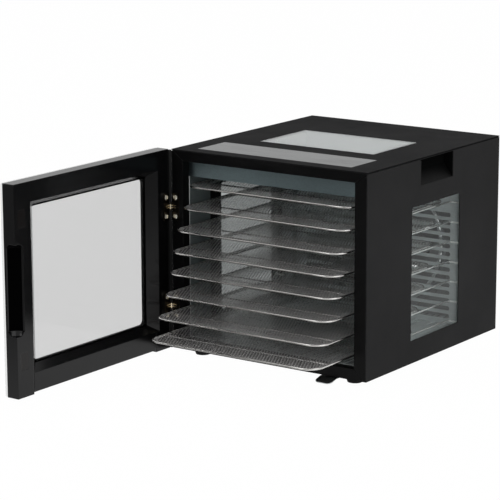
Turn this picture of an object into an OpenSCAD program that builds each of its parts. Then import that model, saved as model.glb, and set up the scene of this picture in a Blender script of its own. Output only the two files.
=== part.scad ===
// Eight-tray food dehydrator with a side-hung glass door.
// Millimetres. Origin on the floor under the middle of the cabinet.
// +X to the right, -Y to the front (door side), +Z up.

/* [Trays] */
// Width over the wire rim of a tray
tray_w = 298; // [250:1:360]
// Depth over the wire rim of a tray, front to back
tray_d = 278; // [230:1:340]
// Height from one tray to the next
tray_pitch = 30.8; // [26:0.2:40]
// Diameter of the rim wire
rim_wire = 3; // [3:0.5:6]
// Corner radius of the rim, to the middle of the wire
rim_r = 22; // [14:1:45]
// Spacing of the wires in the grid
grid_pitch = 5; // [4:0.5:10]
// Width of one wire in the grid
grid_wire = 1.4; // [1:0.1:2]
// Cross rods under the grid
rod_count = 3; // [2:1:5]
// How far tray 1, the top one, stands out in front of the cabinet
pull_1 = 1; // [0:0.5:120]
// How far tray 2 stands out
pull_2 = 16; // [0:0.5:120]
// How far tray 3 stands out
pull_3 = 32.5; // [0:0.5:120]
// How far tray 4 stands out
pull_4 = 43; // [0:0.5:120]
// How far tray 5 stands out
pull_5 = 50.5; // [0:0.5:120]
// How far tray 6 stands out
pull_6 = 62.5; // [0:0.5:120]
// How far tray 7 stands out
pull_7 = 80.5; // [0:0.5:120]
// How far tray 8, the lowest one, stands out
pull_8 = 97; // [0:0.5:120]

/* [Cabinet] */
// Width of the frame bars beside the opening
stile_w = 21; // [16:1:40]
// Height of the frame bars above and below the opening
sill_h = 16.5; // [12:0.5:30]
// Depth of the front frame
frame_d = 15; // [10:1:30]
// Height of the space for controls and ducting above the chamber
duct_h = 41; // [38:1:60]
// Depth of the heater and fan bay behind the chamber
fan_bay_d = 76; // [74:1:110]
// Thickness of the outer panels
panel_t = 1.5; // [1:0.1:2.5]
// Thickness of the chamber sheet
liner_t = 1; // [0.8:0.1:1.5]
// Thickness of the window panes
pane_t = 3; // [2:0.5:4]
// Height of the feet
foot_h = 10; // [8:0.5:16]
// Diameter of a foot
foot_dia = 25; // [20:1:32]

/* [Windows and controls] */
// Width of a side window, front to back
side_win_w = 137; // [100:1:160]
// Height of a side window
side_win_h = 200; // [150:1:205]
// Width of the roof window
roof_win_w = 203; // [150:1:230]
// Depth of the roof window
roof_win_d = 123; // [90:1:130]
// Width of the touch strip
strip_w = 272; // [200:1:290]
// Depth of the touch strip
strip_d = 69; // [50:1:72]
// Width of the hand opening in each side
cup_w = 94; // [80:1:110]
// Height of the hand opening in each side
cup_h = 38.5; // [32:0.5:39]
// Depth of the hand opening
cup_d = 16; // [12:0.5:17]

/* [Door] */
// Angle the door stands open
door_open = 90.6; // [0:0.2:170]
// Thickness of the door with its front glass
door_t = 24; // [20:0.5:32]
// Gap between the door and the cabinet when it is shut
door_gap = 5; // [4.6:0.1:7]
// Thickness of the front glass of the door
door_glass_t = 4; // [3:0.5:5]
// Depth from the inner face of the door to its inner pane
door_recess = 13; // [9:0.5:14]
// Width of the clear part of the door
door_win_w = 250; // [200:1:256]
// Height of the clear part of the door
door_win_h = 223; // [180:1:228]
// How far the clear part stands from the middle of the door, towards the hinges
door_win_shift = 4.5; // [0:0.5:8]
// Width of the slope beside the clear part
bevel_side = 17.7; // [12:0.1:20]
// Height of the slope above the clear part
bevel_top = 10.5; // [4:0.5:14]
// Height of the slope below the clear part
bevel_low = 11.5; // [6:0.5:22]
// Length of the finger scoop in the free edge of the door
grip_len = 131; // [90:1:160]
// Radius of the finger scoop
grip_r = 17; // [12:0.5:18]
// Height of a hinge leaf
leaf_h = 41; // [30:1:60]
// Width of a hinge leaf
leaf_w = 14; // [12:0.5:16]

/* [Air system] */
// Rows of slots in the rear wall of the chamber
slot_rows = 14; // [8:1:16]
// Height of one slot
slot_h = 7; // [5:0.5:8]
// Diameter of the fan
fan_dia = 170; // [120:1:185]
// Blades of the fan
fan_blades = 7; // [5:1:9]
// Diameter of the heater ring, to the middle of its tube
heater_dia = 212; // [200:1:214]
// Diameter of the heater tube
heater_tube = 8; // [6:0.5:9]

/* [Hidden] */
$fn = 64;
eps = 0.01;

// fits
fit_gap = 0.3;      // still pieces that sit in an opening
slide_gap = 0.3;    // a tray on its rails, the pan in its runners
run_gap = 0.05;     // a pin or shaft in its bore, on the radius
tray_side_gap = 1.5;
tray_front_gap = 4;
tray_rear_gap = 3;

// chamber, front opening and cabinet
tray_count = 8;
chamber_w = tray_w + 2 * tray_side_gap;
open_w = chamber_w + 2 * liner_t;
cab_w = open_w + 2 * stile_w;
chamber_d = tray_front_gap + tray_d + tray_rear_gap;
cab_d = frame_d + chamber_d + fan_bay_d + panel_t - liner_t;
low_tray_rise = 18.9;
top_tray_drop = 13;
chamber_h = low_tray_rise + (tray_count - 1) * tray_pitch + top_tray_drop;
cab_h = sill_h + chamber_h + duct_h;

// heights from the floor
z_base = foot_h;
z_sill = z_base + sill_h;
z_ceiling = z_sill + chamber_h;
z_top = z_base + cab_h;
z_top_under = z_top - panel_t;
z_open_top = z_top - sill_h + 0.2;
z_mid = z_base + cab_h / 2;

// depths
y_face = -cab_d / 2;
y_in = y_face + frame_d;
y_baffle = y_in + chamber_d;
y_back = cab_d / 2;
y_back_in = y_back - panel_t;
motor_plate_t = 1.5;
motor_bay_d = 35;
y_plate = y_back_in - motor_bay_d;
y_plate_back = y_plate + motor_plate_t;

// widths
x_liner = chamber_w / 2;
x_open = open_w / 2;
x_skin = cab_w / 2 - panel_t;
x_side = cab_w / 2;
seam = 1;
flange_w = 16;

// trays and rails
pull = [pull_1, pull_2, pull_3, pull_4, pull_5, pull_6, pull_7, pull_8];
rim_x = tray_w / 2 - rim_wire / 2;
rod_dia = 2;
rod_rise = 0.5;      // top of a cross rod above the middle of the rim wire
rail_wire = 3;
rail_bend = 3;
rail_x = rim_x + 0.5;
rail_drop = rim_wire / 2 + slide_gap + rail_wire / 2;
rail_front = y_in + 41;
strip_t = 1.5;
strip_edge = 4.2;
rail_strip_w = 10;

// side windows
win_y = 2;
win_z = z_base + 34.5 + side_win_h / 2;
pane_lap = 4;
sleeve_t = 1;
sleeve_front = y_in + 51;
sleeve_rear = y_baffle - 10;
sleeve_low = z_sill + 6;
sleeve_high = z_ceiling - 20;

rail_rear = win_y + side_win_w / 2 + pane_lap + strip_edge + 1;

// hand openings
cup_wall = 1.2;
cup_z = z_ceiling + cup_h / 2 - 0.5;
cup_slope = cup_h / 2;

// roof
strip_y = y_face + 57;
strip_x = -5;
roof_y = y_face + 189.5;
tub_h = 15;

// air system
fan_z = z_sill + 118.5;
fan_r = fan_dia / 2;
shaft_r = 3;
fan_y = y_baffle + 21;
hub_r = 15;
hub_front = 7;
hub_rear = 9;
blade_t = 1.2;
blade_pitch = 28;
motor_r = 36;
motor_len = 26;
shroud_r = heater_dia / 2 + 10.5;
ring_gap = 24;       // open angle at the foot of the heater ring
heater_bend = 7;
slot_pitch = 12.25;
slot_reach = 132;
slot_web = 12;
slot_low = z_sill + 13;

// door, built shut and then swung about the pin
pin_x = -x_side - 1;
pin_y = y_face - door_gap / 2;
door_in = y_face - door_gap;
door_out = door_in - door_t;
door_frame_out = door_out + door_glass_t;
door_win_z = z_mid + 1.5;
grip_z = z_mid + 2;
grip_end = 6;
door_r = 8;
relief_h = 3;
strip_band = 34;
leaf_t = 1.5;
barrel_r = 2.2;
pin_r = 1.2;
barrel_len = 4;
hinge_high = z_base + 218;
hinge_low = z_base + 66;
magnet_h = 24;
magnet_w = 15;
magnet_x = x_side - 15;
magnet_high = z_base + 255;
magnet_low = z_base + 52;

// crumb pan
pan_inset_x = 67.5;
pan_inset_y = 12;
pan_w = cab_w - 2 * pan_inset_x;
pan_d = chamber_d - 58;
pan_wall = 1;
pan_top = z_base - 1.5;
pan_floor = z_base - 7;
pan_front = y_in + pan_inset_y;
tongue_w = 28;
tongue_x = pan_w / 2 + 3;
tongue_reach = 17;
pan_lip = 4;
runner_flange = 8;
foot_room = 6.7;

black = [0.06, 0.06, 0.06];
steel = [0.66, 0.68, 0.68];
chrome = [0.78, 0.79, 0.8];
glass = [0.75, 0.8, 0.8, 0.35];
brass = [0.72, 0.56, 0.33];

// A flat plate from one corner to the other
module slab(low, high) {
    translate(low)
        cube(high - low);
}

// A rectangle with round corners, centred
module round_rect(w, d, r) {
    square([w - 2 * r, d], center = true);
    square([w, d - 2 * r], center = true);
    for (i = [-1, 1], j = [-1, 1])
        translate([i * (w / 2 - r), j * (d / 2 - r)])
            circle(r);
}

// A slot with round ends, along X, centred
module round_slot(len, h) {
    square([len - h, h], center = true);
    for (i = [-1, 1])
        translate([i * (len - h) / 2, 0])
            circle(h / 2);
}

// Stands a flat shape up, facing the front, from y to y + t
module upright(y, t) {
    translate([0, y + t, 0])
        rotate([90, 0, 0])
            linear_extrude(t)
                children();
}

// Stands a flat shape up, facing sideways, from x to x + t; its X runs along Y
module sideways(x, t) {
    translate([x, 0, 0])
        rotate([90, 0, 90])
            linear_extrude(t)
                children();
}

// A rod along X, Y or Z
module rod_x(x0, x1, r) {
    translate([x0, 0, 0])
        rotate([0, 90, 0])
            cylinder(r = r, h = x1 - x0);
}

module rod_y(y0, y1, r) {
    translate([0, y0, 0])
        rotate([-90, 0, 0])
            cylinder(r = r, h = y1 - y0);
}

// A quarter of a bent wire: bend radius r, wire diameter d, from angle a
module wire_bend(r, d, a) {
    rotate([0, 0, a])
        rotate_extrude(angle = 90)
            translate([r, 0])
                circle(d / 2);
}

// A countersunk screw with its head face at z = 0, pointing down
module countersunk(head_r, shank_r, len) {
    head_h = head_r - shank_r;
    difference() {
        union() {
            translate([0, 0, -head_h])
                cylinder(r1 = shank_r, r2 = head_r, h = head_h);
            translate([0, 0, -len])
                cylinder(r = shank_r, h = len - head_h + eps);
        }
        cross_recess(head_r);
    }
}

module cross_recess(head_r) {
    for (a = [0, 90])
        rotate([0, 0, a])
            slab([-head_r * 0.6, -0.25, -0.5], [head_r * 0.6, 0.25, 1]);
}

// A pan-head screw with its seat at z = 0, shank pointing down
module pan_head(head_r, head_h, shank_r, len) {
    difference() {
        union() {
            cylinder(r1 = head_r, r2 = head_r * 0.8, h = head_h);
            translate([0, 0, -len])
                cylinder(r = shank_r, h = len + eps);
        }
        translate([0, 0, head_h])
            cross_recess(head_r);
    }
}

// ---- outer shell

module front_frame() {
    color(black)
        difference() {
            upright(y_face, frame_d)
                difference() {
                    translate([-x_skin, z_base])
                        square([2 * x_skin, z_top_under - z_base]);
                    translate([-x_open, z_sill])
                        square([open_w, z_open_top - z_sill]);
                }
            for (i = [-1, 1]) {
                mitre_cut(i * x_open, z_sill, i * x_skin, z_base);
                mitre_cut(i * x_open, z_open_top, i * x_skin, z_top_under);
            }
            hinge_holes();
            for (z = [hinge_low, hinge_high], dz = [-40.5, -28.5, 28.5, 40.5])
                translate([-x_side + 4, y_face - 1, z + dz])
                    rod_y(0, 6, 1);
        }
}

// The saw cut between two frame bars, from the opening's corner to the outer one
module mitre_cut(x0, z0, x1, z1) {
    len = norm([x1 - x0, z1 - z0]);
    translate([x0, 0, z0])
        rotate([0, -atan2(z1 - z0, x1 - x0), 0])
            slab([-2, y_face - 1, -0.15], [len + 2, y_in + 1, 0.15]);
}

module hinge_holes() {
    for (z = [hinge_low, hinge_high], dz = [-1, 1])
        translate([pin_x + leaf_w / 2 + 1, y_face - 1, z + dz * (leaf_h / 2 - 6)])
            rod_y(0, 9.5, 1 + run_gap);
}

module top_panel() {
    color(black)
        translate([0, 0, z_top_under])
            linear_extrude(panel_t)
                difference() {
                    translate([-x_side, y_face])
                        square([cab_w, cab_d]);
                    translate([strip_x, strip_y])
                        round_rect(strip_w, strip_d, 2);
                    translate([0, roof_y])
                        round_rect(roof_win_w, roof_win_d, 2);
                }
}

// A side sheet, folded in at the back to take the screws of the rear panel
module side_panel(dir) {
    color(black)
        difference() {
            union() {
                sideways(dir > 0 ? x_skin : -x_side, panel_t)
                    difference() {
                        translate([y_face, z_base])
                            square([cab_d, z_top_under - seam - z_base]);
                        translate([win_y, win_z])
                            round_rect(side_win_w, side_win_h, 2);
                        translate([win_y, cup_z])
                            square([cup_w, cup_h], center = true);
                    }
                slab([dir > 0 ? x_skin - flange_w : -x_side, y_back_in - panel_t, z_base + panel_t],
                     [dir > 0 ? x_side : -x_skin + flange_w, y_back_in, z_top_under - seam]);
            }
            each_rear_screw()
                rod_y(-panel_t - 1, 1, 1.5 + run_gap);
        }
}

module side_panel_left() {
    side_panel(-1);
}

module side_panel_right() {
    side_panel(1);
}

vent_rows = 11;
vent_cols = 2;
vent_len = 84;
vent_pitch = 11;

inlet_x = -118;
inlet_z = z_base + 44;
inlet_w = 28;
inlet_h = 21;

module rear_panel() {
    color(black)
        difference() {
            upright(y_back_in, panel_t)
                difference() {
                    translate([-x_skin, z_base])
                        square([2 * x_skin, z_top_under - z_base]);
                    translate([0, fan_z])
                        for (i = [0:vent_cols - 1], j = [0:vent_rows - 1])
                            translate([(i - 0.5) * (vent_len + 10), (j - 5) * vent_pitch])
                                round_slot(vent_len, 5);
                    translate([inlet_x, inlet_z])
                        round_rect(inlet_w, inlet_h, 2);
                }
            each_rear_screw()
                rod_y(-1, panel_t + 1, 1.7);
        }
}

// Screw places round the edge of the rear panel
module each_rear_screw() {
    for (x = [-1, 1] * (x_skin - flange_w / 2), z = [z_base + 12, z_mid, z_top_under - 12])
        translate([x, y_back_in, z])
            children();
}

module rear_screws() {
    color(steel)
        each_rear_screw()
            translate([0, panel_t, 0])
                rotate([-90, 0, 0])
                    pan_head(3.2, 2, 1.5, 8);
}

foot_x = pan_w / 2 + pan_lip + slide_gap + runner_flange + foot_room + foot_dia / 2;
foot_front = y_face + 27;
foot_rear = y_back - 27;

module each_foot() {
    for (x = [-foot_x, foot_x], y = [foot_front, foot_rear])
        translate([x, y, 0])
            children();
}

module base_plate() {
    color(black)
        difference() {
            slab([-x_skin, y_in, z_base], [x_skin, y_back_in, z_base + panel_t]);
            slab([-pan_w / 2 + 12, pan_front + 12, z_base - 1],
                 [pan_w / 2 - 12, pan_front + pan_d - 12, z_base + panel_t + 1]);
            each_foot()
                translate([0, 0, z_base - 1])
                    cylinder(r = 2 + run_gap, h = panel_t + 2);
        }
}

module feet() {
    color(black)
        each_foot()
            difference() {
                union() {
                    cylinder(r1 = foot_dia / 2 - 1.5, r2 = foot_dia / 2, h = 4);
                    translate([0, 0, 4])
                        cylinder(r = foot_dia / 2, h = foot_h - 4);
                }
                translate([0, 0, -1])
                    cylinder(r = 4.5, h = foot_h - 3);
                cylinder(r = 2 + run_gap, h = foot_h + 1);
            }
}

module foot_screws() {
    color(steel)
        each_foot()
            translate([0, 0, foot_h - 4])
                mirror([0, 0, 1])
                    pan_head(3.6, 2.4, 2, foot_h - 1);
}

// ---- hand openings

// Section across a hand opening: x inwards from the outer face, z up
module cup_section(d, grow) {
    polygon([
        [-panel_t - grow, -cup_h / 2 - grow],
        [0, -cup_h / 2 - grow],
        [d + grow, -cup_h / 2 + cup_slope - grow],
        [d + grow, cup_h / 2 + grow],
        [-panel_t - grow, cup_h / 2 + grow]
    ]);
}

module handle_cup(dir) {
    color(black)
        translate([dir * x_skin, win_y, cup_z])
            mirror([dir > 0 ? 1 : 0, 0, 0])
                difference() {
                    union() {
                        rotate([90, 0, 0])
                            translate([0, 0, -cup_w / 2 - cup_wall])
                                linear_extrude(cup_w + 2 * cup_wall)
                                    intersection() {
                                        cup_section(cup_d - cup_wall, cup_wall);
                                        translate([0, -cup_h])
                                            square([cup_d + 5, 2 * cup_h]);
                                    }
                        slab([0, -cup_w / 2 - 5, -cup_h / 2 - 5],
                             [1, cup_w / 2 + 5, cup_h / 2 + cup_wall]);
                    }
                    rotate([90, 0, 0])
                        translate([0, 0, -cup_w / 2])
                            linear_extrude(cup_w)
                                cup_section(cup_d - cup_wall, 0);
                }
}

module handle_cup_left() {
    handle_cup(-1);
}

module handle_cup_right() {
    handle_cup(1);
}

// ---- windows

module window_pane(dir) {
    color(glass)
        sideways(dir > 0 ? x_skin - pane_t : -x_skin, pane_t)
            translate([win_y, win_z])
                round_rect(side_win_w + 2 * pane_lap, side_win_h + 2 * pane_lap, 4);
}

module window_left() {
    window_pane(-1);
}

module window_right() {
    window_pane(1);
}

// The four walls between the hole in the liner and the side sheet, notched for the rail strip
module window_sleeve(dir) {
    notch_d = strip_t + fit_gap;
    color(steel)
        difference() {
            sideways(dir > 0 ? x_open : -x_skin, x_skin - x_open)
                difference() {
                    translate([sleeve_front, sleeve_low])
                        square([sleeve_rear - sleeve_front, sleeve_high - sleeve_low]);
                    translate([sleeve_front + sleeve_t, sleeve_low + sleeve_t])
                        square([sleeve_rear - sleeve_front - 2 * sleeve_t,
                                sleeve_high - sleeve_low - 2 * sleeve_t]);
                }
            sideways(dir > 0 ? x_skin - notch_d : -x_skin - 1, notch_d + 1)
                translate([rail_rear - strip_edge - fit_gap, sleeve_high - 2 * sleeve_t])
                    square([rail_strip_w + 2 * fit_gap, 3 * sleeve_t]);
        }
}

module window_sleeve_left() {
    window_sleeve(-1);
}

module window_sleeve_right() {
    window_sleeve(1);
}

module roof_window() {
    color(glass)
        translate([0, roof_y, z_top - pane_t])
            linear_extrude(pane_t)
                round_rect(roof_win_w - 2 * fit_gap, roof_win_d - 2 * fit_gap, 2 - fit_gap);
}

// The shaft from the chamber's ceiling up to the roof window, with a ledge for the pane
module roof_sleeve() {
    color(steel)
        translate([0, roof_y, 0])
            difference() {
                union() {
                    translate([0, 0, z_ceiling + liner_t])
                        linear_extrude(z_top_under - z_ceiling - liner_t)
                            round_rect(roof_win_w - 10, roof_win_d - 10, 3);
                    translate([0, 0, z_top - pane_t - 1])
                        linear_extrude(pane_t + 1 - panel_t)
                            round_rect(roof_win_w + 10, roof_win_d + 10, 5);
                }
                translate([0, 0, z_top - pane_t])
                    linear_extrude(pane_t)
                        round_rect(roof_win_w, roof_win_d, 2);
                translate([0, 0, z_ceiling])
                    linear_extrude(cab_h)
                        round_rect(roof_win_w - 12, roof_win_d - 12, 2);
            }
}

// ---- controls

module control_glass() {
    color(glass)
        translate([strip_x, strip_y, z_top - pane_t])
            linear_extrude(pane_t)
                round_rect(strip_w - 2 * fit_gap, strip_d - 2 * fit_gap, 2 - fit_gap);
}

// The tub under the touch strip; its rim carries the glass
module control_tub() {
    color(black)
        translate([strip_x, strip_y, z_top_under - tub_h])
            difference() {
                linear_extrude(tub_h)
                    difference() {
                        round_rect(strip_w + 6, strip_d + 6, 4);
                        for (i = [-1, 1])
                            translate([i * (strip_w / 2 - 10), 0])
                                circle(2);
                    }
                translate([0, 0, 2])
                    linear_extrude(tub_h)
                        round_rect(strip_w - 6, strip_d - 6, 1);
                translate([0, 0, tub_h + panel_t - pane_t])
                    linear_extrude(pane_t)
                        round_rect(strip_w, strip_d, 2);
            }
}

touch_pads = 6;

module control_board() {
    color([0.1, 0.3, 0.2])
        translate([strip_x, strip_y, z_top_under - tub_h + 2]) {
            translate([0, 0, 3])
                linear_extrude(1.6)
                    square([strip_w - 26, strip_d - 16], center = true);
            for (i = [-1, 1], j = [-1, 1])
                translate([i * (strip_w / 2 - 20), j * (strip_d / 2 - 14), 0])
                    cylinder(r = 3, h = 3 + eps);
            for (i = [0:touch_pads - 1])
                translate([(i - (touch_pads - 1) / 2) * 34, 0, 4])
                    cylinder(r = 5, h = tub_h + panel_t - pane_t - 2 - 4 - fit_gap);
        }
}

// ---- chamber

module liner(dir) {
    color(steel)
        sideways(dir > 0 ? x_liner : -x_open, liner_t)
            difference() {
                translate([y_in, z_sill + liner_t])
                    square([y_plate - y_in, chamber_h - liner_t]);
                translate([sleeve_front + sleeve_t, sleeve_low + sleeve_t])
                    square([sleeve_rear - sleeve_front - 2 * sleeve_t,
                            sleeve_high - sleeve_low - 2 * sleeve_t]);
                for (n = [1:tray_count], y = [rail_front, rail_rear])
                    translate([y, tray_z(n) - rail_drop])
                        circle(rail_wire / 2 + fit_gap);
            }
}

module liner_left() {
    liner(-1);
}

module liner_right() {
    liner(1);
}

floor_slots = 15;

module liner_floor() {
    color(steel)
        translate([0, 0, z_sill])
            linear_extrude(liner_t)
                difference() {
                    translate([-x_open, y_in])
                        square([open_w, y_plate - y_in]);
                    for (i = [0:floor_slots - 1], x = [-42, 42])
                        translate([x, pan_front + 26 + i * 12])
                            round_slot(74, 5);
                }
}

// The ceiling, with the upright fascia at its front and the hole under the roof window
module liner_ceiling() {
    color(steel) {
        translate([0, 0, z_ceiling])
            linear_extrude(liner_t)
                difference() {
                    translate([-x_open, y_in])
                        square([open_w, y_plate - y_in]);
                    translate([0, roof_y])
                        round_rect(roof_win_w - 12, roof_win_d - 12, 2);
                }
        slab([-x_open, y_in, z_ceiling + liner_t - eps],
             [x_open, y_in + liner_t, z_open_top + 4]);
    }
}

module rear_baffle() {
    slot_len = slot_reach - slot_web / 2;
    color(steel)
        upright(y_baffle, liner_t)
            difference() {
                translate([-x_liner, z_sill + liner_t])
                    square([chamber_w, chamber_h - liner_t]);
                for (j = [0:slot_rows - 1], i = [-1, 1])
                    translate([i * (slot_reach + slot_web / 2) / 2, slot_low + j * slot_pitch])
                        round_slot(slot_len, slot_h);
            }
}

// Height of the middle of tray n's rim wire; tray 1 is the top one
function tray_z(n) = z_sill + low_tray_rise + (tray_count - n) * tray_pitch;

// One wire rail: a straight run with both ends bent outwards into the strips
module rail(n) {
    run_front = rail_front + rail_bend;
    run_rear = rail_rear - rail_bend;
    translate([0, 0, tray_z(n) - rail_drop]) {
        translate([rail_x, 0, 0])
            rod_y(run_front, run_rear, rail_wire / 2);
        translate([rail_x + rail_bend, run_front, 0])
            wire_bend(rail_bend, rail_wire, 180);
        translate([rail_x + rail_bend, run_rear, 0])
            wire_bend(rail_bend, rail_wire, 90);
        for (y = [rail_front, rail_rear])
            translate([0, y, 0])
                rod_x(rail_x + rail_bend, x_skin - 0.2, rail_wire / 2);
    }
}

module rails_right() {
    color(chrome)
        for (n = [1:tray_count])
            rail(n);
}

module rails_left() {
    color(chrome)
        mirror([1, 0, 0])
            for (n = [1:tray_count])
                rail(n);
}

// Upright strips on the inside of the side panels that hold the rails
module rail_strips() {
    color(steel)
        for (x = [-x_skin, x_skin - strip_t], y = [rail_front, rail_rear])
            sideways(x, strip_t)
                difference() {
                    translate([y - strip_edge, sleeve_low + 2])
                        square([rail_strip_w, tray_z(1) - sleeve_low]);
                    for (n = [1:tray_count])
                        translate([y, tray_z(n) - rail_drop])
                            circle(rail_wire / 2 + run_gap);
                }
}

// ---- heater and fan

// A ring of tube whose two ends bend back and pass through the motor plate
module heater_ring() {
    ring_y = y_baffle + 18;
    color([0.45, 0.44, 0.42])
        translate([0, ring_y, fan_z]) {
            rotate([90, 0, 0])
                rotate([0, 0, -90 + ring_gap / 2])
                    rotate_extrude(angle = 360 - ring_gap)
                        translate([heater_dia / 2, 0])
                            circle(heater_tube / 2);
            for (i = [-1, 1])
                rotate([0, i * ring_gap / 2, 0])
                    translate([0, heater_bend, -heater_dia / 2]) {
                        wire_bend(heater_bend, heater_tube, i > 0 ? -90 : 180);
                        translate([i * heater_bend, 0, 0])
                            rod_y(0, y_plate_back + 12 - ring_y - heater_bend, heater_tube / 2);
                    }
        }
}

// Posts on the motor plate, forked over the heater tube
module heater_clips() {
    post_front = y_baffle + 12;
    color(steel)
        translate([0, 0, fan_z])
            for (a = [45, 135, 225, 315])
                rotate([0, a, 0])
                    difference() {
                        slab([heater_dia / 2 - 7, post_front, -4],
                             [heater_dia / 2 + 7, y_plate, 4]);
                        translate([heater_dia / 2 - 4 - fit_gap, post_front - 1, -5])
                            cube([heater_tube + 2 * fit_gap, 11 + fit_gap, 10]);
                    }
}

module fan_shroud() {
    color(steel)
        translate([0, 0, fan_z])
            difference() {
                rod_y(y_baffle + 14, y_plate, shroud_r);
                rod_y(y_baffle + 13, y_plate + 1, shroud_r - 1.5);
            }
}

// One blade: a curved paddle set at an angle on the hub
module fan_blade() {
    rotate([blade_pitch, 0, 0])
        rotate([90, 0, 0])
            translate([0, 0, -blade_t / 2])
                linear_extrude(blade_t)
                    intersection() {
                        circle(fan_r);
                        translate([fan_r * 0.58, -fan_r * 0.28])
                            circle(fan_r * 0.54);
                        translate([fan_r * 0.58, fan_r * 0.22])
                            circle(fan_r * 0.52);
                    }
}

module fan() {
    color([0.5, 0.5, 0.5])
        translate([0, fan_y, fan_z])
            difference() {
                union() {
                    rod_y(-hub_front, hub_rear, hub_r);
                    for (a = [0:fan_blades - 1])
                        rotate([0, a * 360 / fan_blades, 0])
                            fan_blade();
                }
                rod_y(-hub_front - 1, hub_rear + 1, shaft_r + run_gap);
                for (a = [0:2])
                    rotate([0, a * 120, 0])
                        translate([hub_r * 0.7, 0, 0])
                            rod_y(-hub_front - 1, -hub_front + 3, 1.6);
            }
}

// The nut that holds the fan on the motor shaft
module fan_nut() {
    color(steel)
        translate([0, fan_y - hub_front, fan_z])
            rotate([90, 0, 0])
                difference() {
                    cylinder(r = 2 * shaft_r, h = 4, $fn = 6);
                    translate([0, 0, -1])
                        cylinder(r = shaft_r + run_gap, h = 6);
                }
}

module fan_motor() {
    color([0.3, 0.3, 0.3])
        translate([0, 0, fan_z]) {
            rod_y(y_plate_back, y_plate_back + motor_len, motor_r);
            rod_y(y_plate_back + motor_len - eps, y_back_in - 3, 12);
            rod_y(fan_y - hub_front - 5, y_plate_back + eps, shaft_r);
            rod_y(y_plate_back, y_plate_back + 3, motor_r + 4);
            slab([-motor_r - 11, y_plate_back, -7], [motor_r + 11, y_plate_back + 3, 7]);
        }
}

// A probe on the motor plate that reads the air between the fan and the heater
module temperature_probe() {
    color(steel)
        translate([0, 0, fan_z])
            rotate([0, 68, 0])
                translate([(fan_r + heater_dia / 2 - heater_tube / 2) / 2, 0, 0]) {
                    rod_y(y_plate - 22, y_plate, 2.5);
                    rod_y(y_plate - 2, y_plate, 5);
                }
}

// A disc cut-out on the back of the motor plate that stops the heater if the fan fails
module thermal_cutout() {
    color([0.85, 0.82, 0.7])
        translate([0, 0, fan_z + heater_dia / 2 - 12]) {
            rod_y(y_plate_back, y_plate_back + 6, 8);
            rod_y(y_plate_back + 6 - eps, y_plate_back + 10, 6);
            slab([-14, y_plate_back, -4], [14, y_plate_back + 1, 4]);
            for (i = [-1, 1])
                slab([i * 3 - 0.4, y_plate_back + 9, -3], [i * 3 + 0.4, y_plate_back + 17, 3]);
        }
}

module motor_plate() {
    color(steel)
        upright(y_plate, motor_plate_t)
            difference() {
                translate([-x_open, z_sill])
                    square([open_w, z_ceiling + liner_t - z_sill]);
                translate([0, fan_z]) {
                    circle(shaft_r + 2);
                    for (i = [-1, 1])
                        rotate(-i * ring_gap / 2)
                            translate([i * heater_bend, -heater_dia / 2])
                                circle(heater_tube / 2 + fit_gap);
                    for (a = [0:11])
                        rotate(a * 30 + 15)
                            translate([(motor_r + fan_r) / 2, 0])
                                round_slot(28, 7);
                }
            }
}

// A bare three-pin appliance inlet with its flange, no cord fitted
module power_inlet() {
    color(black)
        translate([inlet_x, 0, inlet_z])
            difference() {
                union() {
                    upright(y_back_in - 14, 14 + panel_t)
                        round_rect(inlet_w - 2 * fit_gap, inlet_h - 2 * fit_gap, 2 - fit_gap);
                    upright(y_back, 2)
                        round_rect(inlet_w + 8, inlet_h + 6, 3);
                }
                upright(y_back - 12, 20)
                    round_rect(inlet_w - 4, inlet_h - 4, 3);
            }
    color(brass)
        for (p = [[-6, 2], [6, 2], [0, -2]])
            translate([inlet_x + p[0], 0, inlet_z + p[1]])
                slab([-1, y_back - 12 - eps, -2.5], [1, y_back - 3, 2.5]);
}

// ---- crumb pan

// Four walls that lead crumbs from the chamber floor down to the pan
module crumb_chute() {
    color(steel)
        translate([0, 0, z_base + panel_t])
            linear_extrude(sill_h - panel_t)
                difference() {
                    translate([-pan_w / 2 + 10, pan_front + 10])
                        square([pan_w - 20, pan_d - 20]);
                    translate([-pan_w / 2 + 12, pan_front + 12])
                        square([pan_w - 24, pan_d - 24]);
                }
}

module crumb_pan() {
    color(steel)
        difference() {
            union() {
                slab([-pan_w / 2, pan_front, pan_floor], [pan_w / 2, pan_front + pan_d, pan_top]);
                for (i = [-1, 1])
                    slab([i * pan_w / 2 - pan_lip, pan_front, pan_top - pan_wall],
                         [i * pan_w / 2 + pan_lip, pan_front + pan_d, pan_top]);
                pull_tongue();
            }
            slab([-pan_w / 2 + pan_wall, pan_front + pan_wall, pan_floor + pan_wall],
                 [pan_w / 2 - pan_wall, pan_front + pan_d - pan_wall, pan_top + 1]);
        }
}

// The sheet runs flat out of the pan, then slopes down; its free corners are round
module pull_tongue() {
    drop = 4.5;
    sheet = 1.2;
    tip_y = y_face - tongue_reach;
    root_y = pan_front + pan_wall;
    intersection() {
        translate([tongue_x, 0, 0])
            sideways(-tongue_w / 2, tongue_w)
                polygon([[root_y, pan_top], [y_face, pan_top], [tip_y, pan_top - drop],
                         [tip_y, pan_top - drop - sheet], [y_face, pan_top - sheet],
                         [root_y, pan_top - sheet]]);
        translate([tongue_x, tip_y, pan_floor - 1])
            linear_extrude(pan_top - pan_floor + 2)
                tongue_outline(root_y - tip_y);
    }
}

module tongue_outline(length) {
    corner = 7;
    translate([-tongue_w / 2, corner])
        square([tongue_w, length - corner]);
    translate([-tongue_w / 2 + corner, 0])
        square([tongue_w - 2 * corner, length]);
    for (i = [-1, 1])
        translate([i * (tongue_w / 2 - corner), corner])
            circle(corner);
}

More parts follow.
